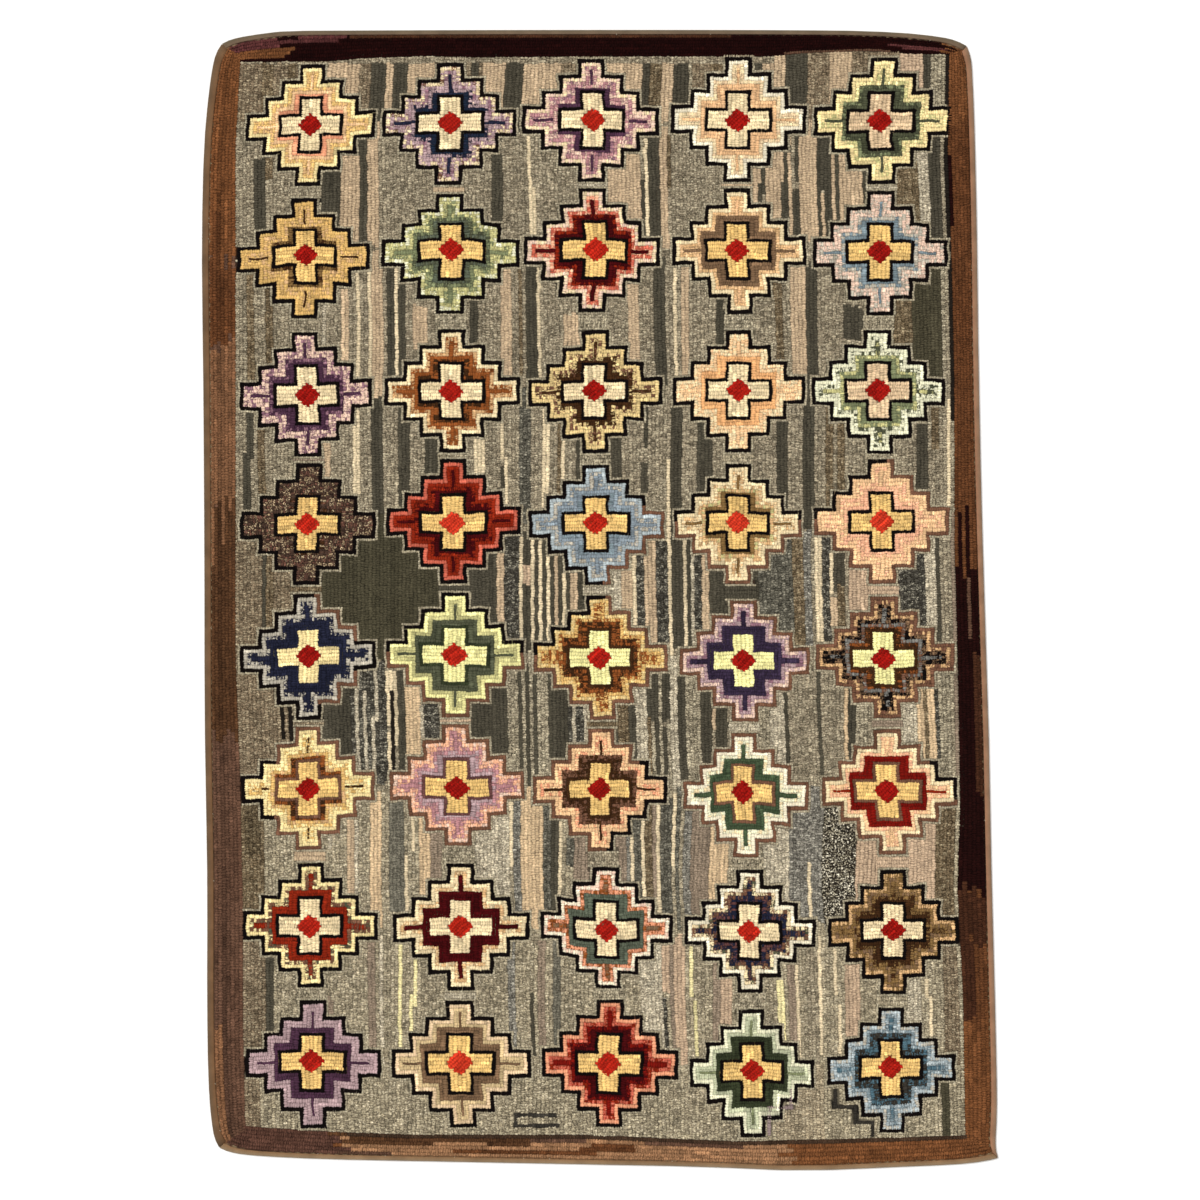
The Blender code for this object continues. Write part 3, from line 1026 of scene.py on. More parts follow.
@dataclass
class Ground:
    """The upright rows between the medallions, with the rows in the gaps between their tips.

    Attributes:
        edges: The edges that the rows stay within.
        medallions: The medallions that they stop at, row by row.
        drift: How the hand-drawn lines wander.
        halo: How far outside the middle of a medallion's outer row the ground starts.
        step: How finely a row is followed.
        least: The narrowest part of a row that still carries loops, as a share of its width.
        gap_lines: The pixel lines between which each line of the stripe chart holds.
        ragged: How far a stripe's end may stray, in pixels.
        still_rows: How many rows it takes from the sides until the rows wander in full.
        followed: Between which heights a row is followed, past both ends of the ground.
        shortest: The shortest stretch that is hooked, as a share of a loop.
        medallion_reach: How near to a row the middle of a medallion that may cover it lies.
        gap_reach: How near to it the middle of a gap between tips does.
    """

    edges: Field
    medallions: list[list[Medallion]]
    drift: Drift
    halo: float = ROW / 2 + HALO_WIDTH
    step: float = 0.6 * MM
    least: float = 0.35
    gap_lines: tuple = (40, 123, 251.5, 392, 523, 657, 789.5, 928.5, 1064, 1150)
    ragged: float = 9.0
    still_rows: float = 6.0
    followed: tuple = (-0.87, 0.88)
    shortest: float = 0.4
    medallion_reach: float = 0.14
    gap_reach: float = 0.06

    def stripes(self, rng: np.random.Generator) -> list[list[tuple]]:
        """Reads the stripe charts.

        Args:
            rng: The source of chance.

        Returns:
            For each row, the (letter, upper line, lower line) of its stripes, the last one on top.
        """
        rows = [[] for _ in range(self.edges.rows)]
        for gap, chart in enumerate(STRIPES):
            top, bottom = self.gap_lines[gap : gap + 2]
            middle = (top + bottom) / 2
            for entry in chart.split():
                body, _, ends = entry.partition("@")
                start, end = map(float, ends.split(":")) if ends else (top, bottom)
                if body.endswith("^"):
                    end = middle
                if body.endswith("v"):
                    start = middle
                letter, numbers = body[0], body[1:].rstrip("^v")
                first, _, last = numbers.partition("-")
                shift = rng.uniform(-self.ragged, self.ragged, 2)
                for k in range(int(first), int(last or first) + 1):
                    stray = rng.uniform(-2, 2, 2)
                    plain = letter in "hew"
                    ends_at = (start, end) if plain else (start, end) + shift + stray
                    rows[k].append((letter, ends_at[0], ends_at[1]))
        return rows

    def tip_gaps(self) -> list[tuple]:
        """The gaps between tips, each as (x, lower y, upper y), column by column."""
        reach = self.medallions[0][0].outline.steps[0][1] + ROW / 2
        gaps = []
        for column in zip(*self.medallions):
            tops = [medallion.place(np.array([[0.0, reach]]))[0] for medallion in column]
            feet = [medallion.place(np.array([[0.0, -reach]]))[0] for medallion in column]
            gaps.append((*tops[0], float(self.edges.at(Side.TOP, tops[0][0]))))
            for foot, top in zip(feet, tops[1:]):
                gaps.append(((foot[0] + top[0]) / 2, top[1], foot[1]))
            end = float(self.edges.at(Side.BOTTOM, feet[-1][0]))
            gaps.append((feet[-1][0], end, feet[-1][1]))
        return gaps

    def free_part(self, x: Points, y: Points, width: Points) -> tuple[Points, Points]:
        """How much of an upright row is left free by the medallions.

        Args:
            x: The row's middle at each height.
            y: Those heights.
            width: How wide the row is.

        Returns:
            The left and the right end of the free part at each height, equal where nothing is.
        """
        low, high = x - width / 2, x + width / 2
        points = np.column_stack([x, y])
        wander = self.drift.at(points)
        spans = []
        for medallion in (m for line in self.medallions for m in line):
            if abs(medallion.centre[0] - x.mean()) > self.medallion_reach:
                continue
            local = medallion.unplace(points, wander)
            half = medallion.outline.half_width(local[:, 1], self.halo) * medallion.scale[0]
            middle = x - local[:, 0] * medallion.scale[0]
            spans.append((middle - half, middle + half, half > 0))
        tip = self.medallions[0][0].outline.steps[0][0] + self.halo
        for gap_x, bottom, top in self.tip_gaps():
            if abs(gap_x - x.mean()) < self.gap_reach:
                inside = (y > bottom - self.halo) & (y < top + self.halo)
                spans.append((gap_x - tip, gap_x + tip, inside))
        near = self.least * width
        for left, right, inside in spans:
            blocked = inside & (left < high - near) & (right > low + near)
            from_left = blocked & (right < high - near)
            from_right = blocked & (left > low + near)
            covered = blocked & ~from_left & ~from_right
            low = np.where(from_left, np.maximum(low, right), low)
            high = np.where(from_right, np.minimum(high, left), high)
            low = np.where(covered, high, low)
            touch_right = inside & ~blocked & (left >= high - near) & (left < high + near)
            high = np.where(touch_right, left, high)
            touch_left = inside & ~blocked & (right > low - near) & (right <= low + near)
            low = np.where(touch_left, right, low)
        return low, high

    def hook_row(self, k: int, stripes: list[tuple], hooker: Hooker) -> list[Loops]:
        """Hooks one upright row in the stretches that the medallions leave free."""
        y = np.arange(*self.followed, self.step)
        left, right = self.edges.at(Side.LEFT, y), self.edges.at(Side.RIGHT, y)
        width = (right - left) / self.edges.rows
        x = left + (k + 0.5) * width
        inner = min(1.0, min(k + 0.5, self.edges.rows - k - 0.5) / self.still_rows)
        x = x + inner * self.drift.at(np.column_stack([x, y]))[:, 0]
        keep = (y > self.edges.at(Side.BOTTOM, x)) & (y < self.edges.at(Side.TOP, x))
        x, y, width = x[keep], y[keep], width[keep]
        low, high = self.free_part(x, y, width)
        free = high - low > self.least * width
        edges = np.flatnonzero(np.diff(np.concatenate([[0], free.astype(int), [0]])))
        parts = []
        for start, end in zip(edges[::2], edges[1::2]):
            length = (end - start) * self.step
            if length < self.shortest * hooker.pitch:
                continue
            shares, lengths = hooker.shares(length)
            at = start + (shares * (end - start)).astype(int)
            nearby = np.clip(at + 1, 0, len(x) - 1)
            along = np.column_stack([x[nearby] - x[at], np.full(len(at), self.step)])
            along /= np.linalg.norm(along, axis=1, keepdims=True)
            centre = np.column_stack([(low[at] + high[at]) / 2, y[at]])
            half = np.column_stack([lengths * length, high[at] - low[at]]) / 2
            parts.append(Loops.undyed(centre, along, half))
            self.dye(parts[-1], stripes, hooker.rng)
        return parts

    @staticmethod
    def dye(loops: Loops, stripes: list[tuple], rng: np.random.Generator) -> None:
        """Gives the loops of an upright row the wools of its stripes.

        Args:
            loops: The loops.
            stripes: The row's stripes, the last one on top.
            rng: The source of chance.
        """
        lines = MIDDLE_PIXEL - loops.centre[:, 1] / PIXEL
        letters = np.full(len(lines), "h")
        for letter, top, bottom in stripes:
            letters[(lines >= top) & (lines < bottom)] = letter
        for letter in sorted(set(letters)):
            loops.dye(letters == letter, GROUND_WOOLS[letter], rng)
        loops.shade(0.05, rng)

    def hook(self, hooker: Hooker) -> list[list[Loops]]:
        """Hooks all upright rows, and the single rows that are laid into them.

        Args:
            hooker: Lays the loops.

        Returns:
            The loops of each row, in parts.
        """
        stripes = self.stripes(hooker.rng)
        lines = self.inlaid(hooker)
        taken = KDTree(len(lines.centre))
        for i, (x, y) in enumerate(lines.centre):
            taken.insert((x, y, 0.0), i)
        taken.balance()
        rows = []
        for k in range(self.edges.rows):
            parts = []
            for part in self.hook_row(k, stripes[k], hooker):
                clear = [taken.find((x, y, 0.0))[2] > 0.6 * ROW for x, y in part.centre]
                parts.append(part.where(np.array(clear)))
            rows.append(parts)
        rows[self.edges.rows // 2].append(lines)
        return rows

    def inlaid(self, hooker: Hooker) -> Loops:
        """The single rows that are laid into the ground."""
        parts = []
        for wool, line in INLAID_ROWS:
            corners = [(across(column), upward(row)) for column, row in line]
            parts += hooker.path(corners, wool_called(wool), closed=False)
        return Loops.joined(parts)

    def between_tips(self, hooker: Hooker) -> list[list[Loops]]:
        """Level rows in the gaps between tips, for each column of medallions."""
        tip = self.medallions[0][0].outline.steps[0][0] + self.halo
        columns = [[] for _ in self.medallions[0]]
        gaps = self.tip_gaps()
        per_column = len(gaps) // len(columns)
        for i, (x, bottom, top) in enumerate(gaps):
            column, line = divmod(i, per_column)
            yarn = GROUND_WOOLS[TIP_GAPS[line][column]]
            low = bottom + (0.0 if line == per_column - 1 else HALO_WIDTH)
            high = top - (0.0 if line == 0 else HALO_WIDTH)
            count = max(1, round((high - low) / ROW))
            rows = [(low + (j + 0.5) * (high - low) / count, (high - low) / count) for j in range(count)]
            for y, width in rows:
                columns[column].append(hooker.run((x - tip, y), (x + tip, y), yarn, width))
            for end, y in ((bottom, (bottom + low) / 2), (top, (top + high) / 2)):
                if end != y:
                    run = hooker.run((x - tip, y), (x + tip, y), HALO_WOOL, HALO_WIDTH)
                    columns[column].append(run)
        return columns


# The wools of the border. A stretch gives its rows, counted from the tape, the pixels between
# which it runs along its side, and its wool, and lies over the stretches before it.
BORDER_STRETCHES = {
    Side.LEFT: (
        "0-6 0-1200 dun, 0-6 500-735 umber, 0-6 0-265 chestnut, 0-6 265-345 walnut, 0-6"
        " 345-500 fawn, 0-0 500-560 fawn, 3-3 500-545 fawn, 1-2 215-265 walnut, 0-1 1020-1200"
        " fawn"
    ),
    Side.BOTTOM: (
        "0-4 0-1200 chestnut, 0-4 340-790 caramel, 0-5 0-340 mocha, 0-0 340-395 dun, 4-5"
        " 340-540 umber, 3-3 340-440 umber, 3-3 490-540 umber, 1-1 440-590 walnut, 2-3 590-640"
        " walnut, 4-4 540-595 dun, 4-4 640-740 dun, 5-5 360-1200 soot"
    ),
    Side.RIGHT: (
        "0-5 0-1200 walnut, 0-5 0-120 chestnut, 0-5 570-890 oxblood, 2-2 515-570 oxblood, 4-4"
        " 515-570 oxblood, 5-5 150-235 oxblood, 2-2 590-640 dun, 0-1 650-790 sable, 0-5"
        " 890-945 sable, 3-5 945-1020 sable, 0-5 1020-1200 chestnut"
    ),
    Side.TOP: (
        "0-6 0-1200 cherry, 0-0 345-720 sable, 0-2 0-290 wine, 0-1 290-345 wine, 3-5 0-285"
        " chestnut, 6-6 785-890 dun, 3-4 895-945 wine, 0-6 950-1200 chestnut"
    ),
}


@dataclass
class Border:
    """The rows between the tape and the ground.

    Attributes:
        outline: The tape's outer edge.
        edges: The ground's edges.
        rows: How many rows each side has.
        clearance: Room between the tape's lap and the outermost row.
        fall: How much lower the outermost row ends beside the tape.
    """

    outline: Outline
    edges: Field
    rows: dict = field(
        default_factory=lambda: {Side.LEFT: 7, Side.BOTTOM: 6, Side.RIGHT: 6, Side.TOP: 7}
    )
    clearance: float = 0.9 * MM
    fall: float = 3.4 * MM

    def hook(self, side: Side, hooker: Hooker) -> Loops:
        """Hooks one side's rows, mitred at the corners.

        Args:
            side: Which side.
            hooker: Gives the chance.

        Returns:
            The side's loops.
        """
        count = self.rows[side]
        pitch = RIB_PITCH if side is Side.LEFT else PITCH
        shares = np.linspace(0.0, 1.0, 400)
        insets = self.outline.past_lap(self.clearance)
        outer = resampled(self.outline.drawn_in(self.outline.sides[side], insets), shares)
        inner = resampled(self.edges.edge(side), shares)
        parts = []
        for i in range(count):
            share = (i + 0.5) / count
            line = outer * (1 - share) + inner * share
            length = float(np.linalg.norm(np.diff(line, axis=0), axis=1).sum())
            lengths = hooker.shares(length * hooker.pitch / pitch)[1]
            ends = resampled(line, np.concatenate([[0.0], np.cumsum(lengths)]))
            gap = np.diff(ends, axis=0)
            long = np.linalg.norm(gap, axis=1)
            centre = (ends[1:] + ends[:-1]) / 2
            half = np.column_stack([long, self.width_at(centre, outer, inner) / count]) / 2
            row = Loops.undyed(centre, gap / long[:, None], half, self.fall if i == 0 else 0.0)
            self.dye(row, side, i, hooker)
            parts.append(row)
        return Loops.joined(parts)

    @staticmethod
    def width_at(centre: Points, outer: Points, inner: Points) -> Points:
        """The border's width at each place, measured between its two edges."""
        axis = 0 if np.ptp(centre[:, 0]) > np.ptp(centre[:, 1]) else 1
        levels = []
        for line in (outer, inner):
            order = np.argsort(line[:, axis])
            levels.append(np.interp(centre[:, axis], line[order, axis], line[order, 1 - axis]))
        return np.abs(levels[0] - levels[1])

    @staticmethod
    def dye(row: Loops, side: Side, number: int, hooker: Hooker) -> None:
        """Gives a border row the wools of the stretches that name it.

        Args:
            row: The row's loops.
            side: The side that it runs along.
            number: Its number, counted from the tape.
            hooker: Gives the source of chance.
        """
        along = -row.centre[:, 1] if side.upright else row.centre[:, 0]
        places = MIDDLE_PIXEL + along / PIXEL
        for stretch in BORDER_STRETCHES[side].split(", "):
            rows, reach, wool = stretch.split()
            first, last = map(int, rows.split("-"))
            if first <= number <= last:
                start, end = hooker.rng.uniform(-12, 12, 2) + [float(at) for at in reach.split("-")]
                row.dye((places >= start) & (places < end), WOOLS[wool], hooker.rng)
        row.shade(0.07, hooker.rng)


def make_object(name: str, points: Points, quads: Points) -> bpy.types.Object:
    """A smooth object from arrays of points and four-cornered faces, on the rug's body.

    Args:
        name: The object's name.
        points: One row of x, y and z for each vertex.
        quads: One row of four vertex numbers for each face.

    Returns:
        The object, linked into the scene.
    """
    mesh = bpy.data.meshes.new(name)
    mesh.vertices.add(len(points))
    mesh.vertices.foreach_set("co", points.astype(np.float32).ravel())
    mesh.loops.add(quads.size)
    mesh.loops.foreach_set("vertex_index", quads.astype(np.int32).ravel())
    mesh.polygons.add(len(quads))
    mesh.polygons.foreach_set("loop_start", np.arange(0, quads.size, 4, dtype=np.int32))
    mesh.update(calc_edges=True)
    mesh.shade_smooth()
    piece = bpy.data.objects.new(name, mesh)
    bpy.context.scene.collection.objects.link(piece)
    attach(piece, BODY)
    return piece


def paint(mesh: bpy.types.Mesh, name: str, colours: Points) -> None:
    """Stores a colour for each vertex of a mesh."""
    layer = mesh.color_attributes.new(name=name, type="FLOAT_COLOR", domain="POINT")
    opaque = np.column_stack([colours, np.ones(len(colours))])
    layer.data.foreach_set("color", opaque.astype(np.float32).ravel())


def unfold(mesh: bpy.types.Mesh, places: Points) -> None:
    """Stores a flat map for a mesh, with one place on it for each vertex."""
    layer = mesh.uv_layers.new(name="OFBake")
    corners = np.zeros(len(mesh.loops), dtype=np.int32)
    mesh.loops.foreach_get("vertex_index", corners)
    layer.data.foreach_set("uv", places[corners].astype(np.float32).ravel())


@dataclass
class Pile:
    """Turns loops into meshes of bent patches.

    Attributes:
        rng: The source of chance.
        overlap: How much longer and wider a patch is than its share of the row.
        side_drop: How far a loop falls at its two sides.
        end_drop: How far it falls at its two ends, where it goes through the cloth.
        corner_drop: How far it falls at its corners.
        uneven: How much the tops of loops differ.
        stray: How far a loop stands off its place.
        varied: How much its length and width differ from its share.
        turned: How much it is turned, in radians.
        shades: How light the middle, the sides, the ends and the corners are painted: painted light on
            the top and painted shade where the loop dips between its neighbours.
    """

    rng: np.random.Generator
    overlap: tuple = (1.2, 1.08)
    side_drop: float = 0.9 * MM
    end_drop: float = 2.1 * MM
    corner_drop: float = 2.7 * MM
    uneven: float = 0.22 * MM
    stray: float = 0.3 * MM
    varied: float = 0.06
    turned: float = 0.08
    shades: tuple = (1.12, 0.80, 0.82, 0.54)

    def build(self, name: str, loops: Loops) -> bpy.types.Object:
        """Makes one piece of the pile.

        Args:
            name: The piece's name.
            loops: What stands in it.

        Returns:
            The object, with its wool's colours, painted light and shade over each loop, and a flat map
            for them.
        """
        count = len(loops.centre)
        u, v = np.meshgrid([-1.0, 0.0, 1.0], [-1.0, 0.0, 1.0], indexing="ij")
        u, v = u.ravel(), v.ravel()
        corner = (np.abs(u) == 1) & (np.abs(v) == 1)
        end = (np.abs(u) == 1) & (v == 0)
        side = (u == 0) & (np.abs(v) == 1)
        drop = corner * self.corner_drop + end * self.end_drop + side * self.side_drop
        # Painted light and shade: each loop's colour is lighter on its top and darker at its sides, ends
        # and corners, where it dips between its neighbours.
        shade = np.select([corner, end, side], self.shades[:0:-1], self.shades[0])
        reach = loops.half * self.overlap * np.exp(self.rng.normal(0.0, self.varied, (count, 2)))
        turn = self.rng.normal(0.0, self.turned, (count, 1))
        beside = np.column_stack([loops.along[:, 1], -loops.along[:, 0]])
        along = loops.along + turn * beside
        beside = np.column_stack([along[:, 1], -along[:, 0]])
        centre = loops.centre + self.rng.normal(0.0, self.stray, (count, 2))
        u_reach = np.where(corner, 0.88, 1.0) * u
        v_reach = np.where(corner, 0.92, 1.0) * v
        flat = (
            centre[:, None, :]
            + (along * reach[:, :1])[:, None, :] * u_reach[None, :, None]
            + (beside * reach[:, 1:])[:, None, :] * v_reach[None, :, None]
        )
        top = PILE_TOP + swell(*loops.centre.T) + self.rng.normal(0.0, self.uneven, count)
        height = top[:, None] - drop[None, :] - loops.fall[:, None] * (v > 0)[None, :]
        points = np.concatenate([flat, height[:, :, None]], axis=2).reshape(-1, 3)
        patch = np.array([[0, 1, 4, 3], [1, 2, 5, 4], [3, 4, 7, 6], [4, 5, 8, 7]])
        quads = (patch[None] + 9 * np.arange(count)[:, None, None]).reshape(-1, 4)
        piece = make_object(name, points, quads)
        # The wool's and the specks' colours are stored with that painted light and shade in them.
        for name, colour in (("wool", loops.colour), ("speck", loops.speck)):
            colour_with_painted_shade = colour[:, None, :] * shade[None, :, None]
            paint(piece.data, name, colour_with_painted_shade.reshape(-1, 3).clip(0.0, 1.0))
        paint(piece.data, "fleck", loops.fleck.repeat(9)[:, None].repeat(3, axis=1))
        unfold(piece.data, self.flat_map(loops, flat))
        log.info("%s: %d loops", piece.name, count)
        return piece

    @staticmethod
    def flat_map(loops: Loops, flat: Points) -> Points:
        """A map in which a long narrow piece lies folded to and fro over the whole square.

        Args:
            loops: The piece's loops.
            flat: The x and y of each loop's nine points.

        Returns:
            One place on the map for each point.
        """
        low, high = flat.reshape(-1, 2).min(axis=0), flat.reshape(-1, 2).max(axis=0)
        size = high - low
        long = int(np.argmax(size))
        short = 1 - long
        folds = max(1, round(math.sqrt(size[long] / size[short])))
        fold_length = size[long] / folds
        shrunk = loops.centre[:, None] + 0.9 * (flat - loops.centre[:, None])
        fold = np.clip((loops.centre[:, long] - low[long]) // fold_length, 0, folds - 1)[:, None]
        v = (shrunk[:, :, long] - low[long] - fold * fold_length) / fold_length
        u = (fold + (shrunk[:, :, short] - low[short]) / size[short]) / folds
        margin = 0.004
        return np.stack([u, v], axis=2).reshape(-1, 2) * (1 - 2 * margin) + margin


class Shading:
    """A node material in the making.

    Attributes:
        material: The material.
        tree: Its nodes.
        shader: Its Principled shader.
        place: The socket that gives the place on the object, in metres.
    """

    def __init__(self, name: str, roughness: float, gloss: float) -> None:
        """Starts a dull material.

        Args:
            name: The material's name.
            roughness: Its roughness.
            gloss: Its specular level.
        """
        self.material = bpy.data.materials.new(name)
        self.material.use_nodes = True
        self.tree = self.material.node_tree
        self.shader = self.tree.nodes["Principled BSDF"]
        self.shader.inputs["Roughness"].default_value = roughness
        self.shader.inputs["Specular IOR Level"].default_value = gloss
        self.place = self.tree.nodes.new("ShaderNodeTexCoord").outputs["Object"]

    def node(self, kind: str, inputs: dict, **settings: str) -> bpy.types.Node:
        """A node of the material.

        Args:
            kind: Its type, without what all types start with.
            inputs: The value, or the socket to link, for each of its inputs.
            settings: Its settings, which come before its inputs.

        Returns:
            The node.
        """
        node = self.tree.nodes.new(f"ShaderNode{kind}")
        for name, setting in settings.items():
            setattr(node, name, setting)
        for name, value in inputs.items():
            if isinstance(value, bpy.types.NodeSocket):
                self.tree.links.new(value, node.inputs[name])
            else:
                node.inputs[name].default_value = value
        return node

    def stored(self, name: str) -> bpy.types.Node:
        """The node that reads what paint stored under a name."""
        return self.node("Attribute", {}, attribute_name=name)

    def noise(self, scale: float, detail: float = 2.0) -> bpy.types.NodeSocket:
        """A noise.

        Args:
            scale: How many of its cells there are in a metre.
            detail: How many finer noises are in it.

        Returns:
            Its value.
        """
        inputs = {"Scale": scale, "Detail": detail, "Vector": self.place}
        return self.node("TexNoise", inputs).outputs["Fac"]

    def wave(self, direction: str, scale: float, distortion: float) -> bpy.types.NodeSocket:
        """Parallel waves.

        Args:
            direction: The axis that they follow one another on, or DIAGONAL.
            scale: Their scale, of which a metre holds about three for each.
            distortion: How far they bend.

        Returns:
            Their value.
        """
        inputs = {"Scale": scale, "Distortion": distortion, "Vector": self.place}
        return self.node("TexWave", inputs, bands_direction=direction).outputs["Fac"]

    def spread(
        self, value: bpy.types.NodeSocket, low: float, high: float, reach: float = 0.2
    ) -> bpy.types.NodeSocket:
        """A value that is mostly from 0.3 to 0.7, as noise is, spread between two others.

        Args:
            value: The value.
            low: What a value of 0.5 less the reach becomes.
            high: What a value of 0.5 and the reach becomes.
            reach: How far from 0.5 the ends of the spread are.

        Returns:
            The spread value.
        """
        ends = {"From Min": 0.5 - reach, "From Max": 0.5 + reach, "To Min": low, "To Max": high}
        return self.node("MapRange", {**ends, "Value": value}).outputs["Result"]

    def maths(
        self, operation: str, first: bpy.types.NodeSocket, second: bpy.types.NodeSocket | float
    ) -> bpy.types.NodeSocket:
        """A sum or a product of two values.

        Args:
            operation: ADD or MULTIPLY.
            first: The one value.
            second: The other one.

        Returns:
            The result.
        """
        return self.node("Math", {0: first, 1: second}, operation=operation).outputs["Value"]

    def scaled(
        self, colour: bpy.types.NodeSocket, by: bpy.types.NodeSocket
    ) -> bpy.types.NodeSocket:
        """A colour made lighter or darker by a value."""
        return self.node("VectorMath", {0: colour, "Scale": by}, operation="SCALE").outputs["Vector"]

    def mixed(
        self,
        first: Points | bpy.types.NodeSocket,
        second: Points | bpy.types.NodeSocket,
        share: bpy.types.NodeSocket,
    ) -> bpy.types.NodeSocket:
        """One colour going over into another.

        Args:
            first: The colour where the share is 0.
            second: The colour where it is 1.
            share: How much of the second colour there is.

        Returns:
            The mixed colour.
        """
        inputs = {}
        for name, colour in (("A", first), ("B", second)):
            linked = isinstance(colour, bpy.types.NodeSocket)
            inputs[name] = colour if linked else (*colour, 1.0)
        return self.node("Mix", {**inputs, "Factor": share}, data_type="RGBA").outputs["Result"]

    def finished(
        self,
        colour: bpy.types.NodeSocket,
        height: bpy.types.NodeSocket,
        distance: float,
        strength: float,
    ) -> bpy.types.Material:
        """Puts the colour and the bump in.

        Args:
            colour: The surface's colour.
            height: The height that its bump follows.
            distance: How high the bump is, in metres.
            strength: How much of it shows.

        Returns:
            The material.
        """
        self.tree.links.new(colour, self.shader.inputs["Base Color"])
        bump = self.node("Bump", {"Distance": distance, "Strength": strength, "Height": height})
        self.tree.links.new(bump.outputs["Normal"], self.shader.inputs["Normal"])
        return self.material


@dataclass(frozen=True)
class HookedWool:
    """The finish of the loops: dull wool with short fibres, in each loop's own colour with painted light
    and shade over the loop.

    Attributes:
        name: The material's name.
        fibre: How many fibres there are in a metre.
        contrast: How much lighter and darker the fibres are than the wool.
        speck: How many specks of another strip there are in a metre.
        fleck: How many lighter and darker flecks there are in a metre.
        lift: How much lighter the wool is than its stored shades.
        roughness: How dull it is.
        gloss: Its specular level.
    """

    name: str = "hooked wool"
    fibre: float = 900.0
    contrast: float = 0.14
    speck: float = 400.0
    fleck: float = 430.0
    lift: float = 1.1
    roughness: float = 0.95
    gloss: float = 0.06

    def material(self) -> bpy.types.Material:
        """The finish as a material."""
        wool = Shading(self.name, self.roughness, self.gloss)
        fibres = wool.noise(self.fibre, 3.0)
        fine = wool.spread(fibres, self.lift * (1 - self.contrast), self.lift * (1 + self.contrast))
        flecks = wool.spread(wool.noise(self.fleck, 1.0), -1.0, 1.0, 0.16)
        flecks = wool.maths("MULTIPLY", flecks, wool.stored("fleck").outputs["Fac"])
        share = wool.spread(wool.noise(self.speck, 1.0), -1.5, 1.2, 0.1)
        strips = (wool.stored(name).outputs["Color"] for name in ("wool", "speck"))
        colour = wool.scaled(wool.mixed(*strips, share), fine)
        colour = wool.scaled(colour, wool.maths("ADD", flecks, 1.0))
        colour = wool.scaled(colour, wool.spread(wool.noise(24.0), 0.94, 1.06))
        return wool.finished(colour, fibres, 0.4 * MM, 0.5)


@dataclass(frozen=True)
class CottonTape:
    """The finish of a binding tape: fine twill, with another shade towards the outer fold that is partly
    a tone of its own and partly painted shade where the fold rolls down.

    Attributes:
        name: The material's name.
        inner: The shade beside the pile.
        outer: The shade on the outer fold and the back, partly painted shade where the fold rolls down.
        twill: The scale of the twill's waves.
        lift: How much lighter it is than those shades.
        roughness: How dull it is.
        gloss: Its specular level.
    """

    name: str
    inner: str
    outer: str
    twill: float = 103.0
    lift: float = 1.1
    roughness: float = 0.88
    gloss: float = 0.12

    def material(self) -> bpy.types.Material:
        """The finish as a material."""
        tape = Shading(self.name, self.roughness, self.gloss)
        # Towards the outer fold the colour goes over into the outer shade, which is partly painted shade
        # of the rolled edge.
        inner, outer = (linear_colours(shade)[0] * self.lift for shade in (self.inner, self.outer))
        colour = tape.mixed(inner, outer, tape.stored("across").outputs["Fac"])
        colour = tape.scaled(colour, tape.spread(tape.noise(34.0, 5.0), 0.80, 1.16))
        colour = tape.scaled(colour, tape.spread(tape.noise(1100.0), 0.86, 1.12))
        return tape.finished(colour, tape.wave("DIAGONAL", self.twill, 1.5), 0.25 * MM, 0.6)


@dataclass(frozen=True)
class Burlap:
    """The finish of the foundation: jute weave, with the loops' colours showing on the back, and darkened
    as painted shade on top between the loops.

    Attributes:
        name: The material's name.
        shade: The shade of the jute.
        weave: The scale of the weave's waves.
        roughness: How dull it is.
        gloss: Its specular level.
    """

    name: str = "burlap foundation"
    shade: str = "8f7b5c"
    weave: float = 25.0
    roughness: float = 0.94
    gloss: float = 0.1

    def material(self) -> bpy.types.Material:
        """The finish as a material."""
        cloth = Shading(self.name, self.roughness, self.gloss)
        warp, weft = (cloth.wave(direction, self.weave, 0.6) for direction in ("X", "Y"))
        crossed = cloth.maths("MULTIPLY", warp, weft)
        crossed = cloth.maths("MULTIPLY", crossed, cloth.stored("jute").outputs["Fac"])
        jute = linear_colours(self.shade)[0]
        # Where no jute shows, on top between the loops' feet, the colour is the painted shade that
        # show_wool stored.
        colour = cloth.mixed(cloth.stored("wool").outputs["Color"], jute, crossed)
        colour = cloth.scaled(colour, cloth.spread(cloth.noise(60.0, 4.0), 0.84, 1.1))
        return cloth.finished(colour, crossed, 0.5 * MM, 0.8)


@dataclass(frozen=True)
class SewingThread:
    """The finish of the stitches: cotton thread of a few shades.

    Attributes:
        name: The material's name.
        roughness: How dull it is.
        gloss: Its specular level.
    """

    name: str = "sewing thread"
    roughness: float = 0.7
    gloss: float = 0.3

    def material(self) -> bpy.types.Material:
        """The finish as a material."""
        thread = Shading(self.name, self.roughness, self.gloss)
        twist = thread.noise(2600.0, 1.0)
        shade = thread.stored("thread").outputs["Color"]
        colour = thread.scaled(shade, thread.spread(twist, 0.82, 1.15))
        return thread.finished(colour, twist, 0.1 * MM, 0.5)


@dataclass(frozen=True)
class FloorPaint:
    """The finish of the floor: pale and dull, with hardly any grain.

    Attributes:
        name: The material's name.
        shade: Its shade.
        roughness: How dull it is.
        gloss: Its specular level.
    """

    name: str = "floor paint"
    shade: str = "fbfaf8"
    roughness: float = 0.95
    gloss: float = 0.0

    def material(self) -> bpy.types.Material:
        """The finish as a material."""
        floor = Shading(self.name, self.roughness, self.gloss)
        grain = floor.noise(300.0)
        shade = linear_colours(self.shade)[0]
        colour = floor.mixed(shade, shade * 0.99, grain)
        return floor.finished(colour, grain, 0.01 * MM, 0.1)


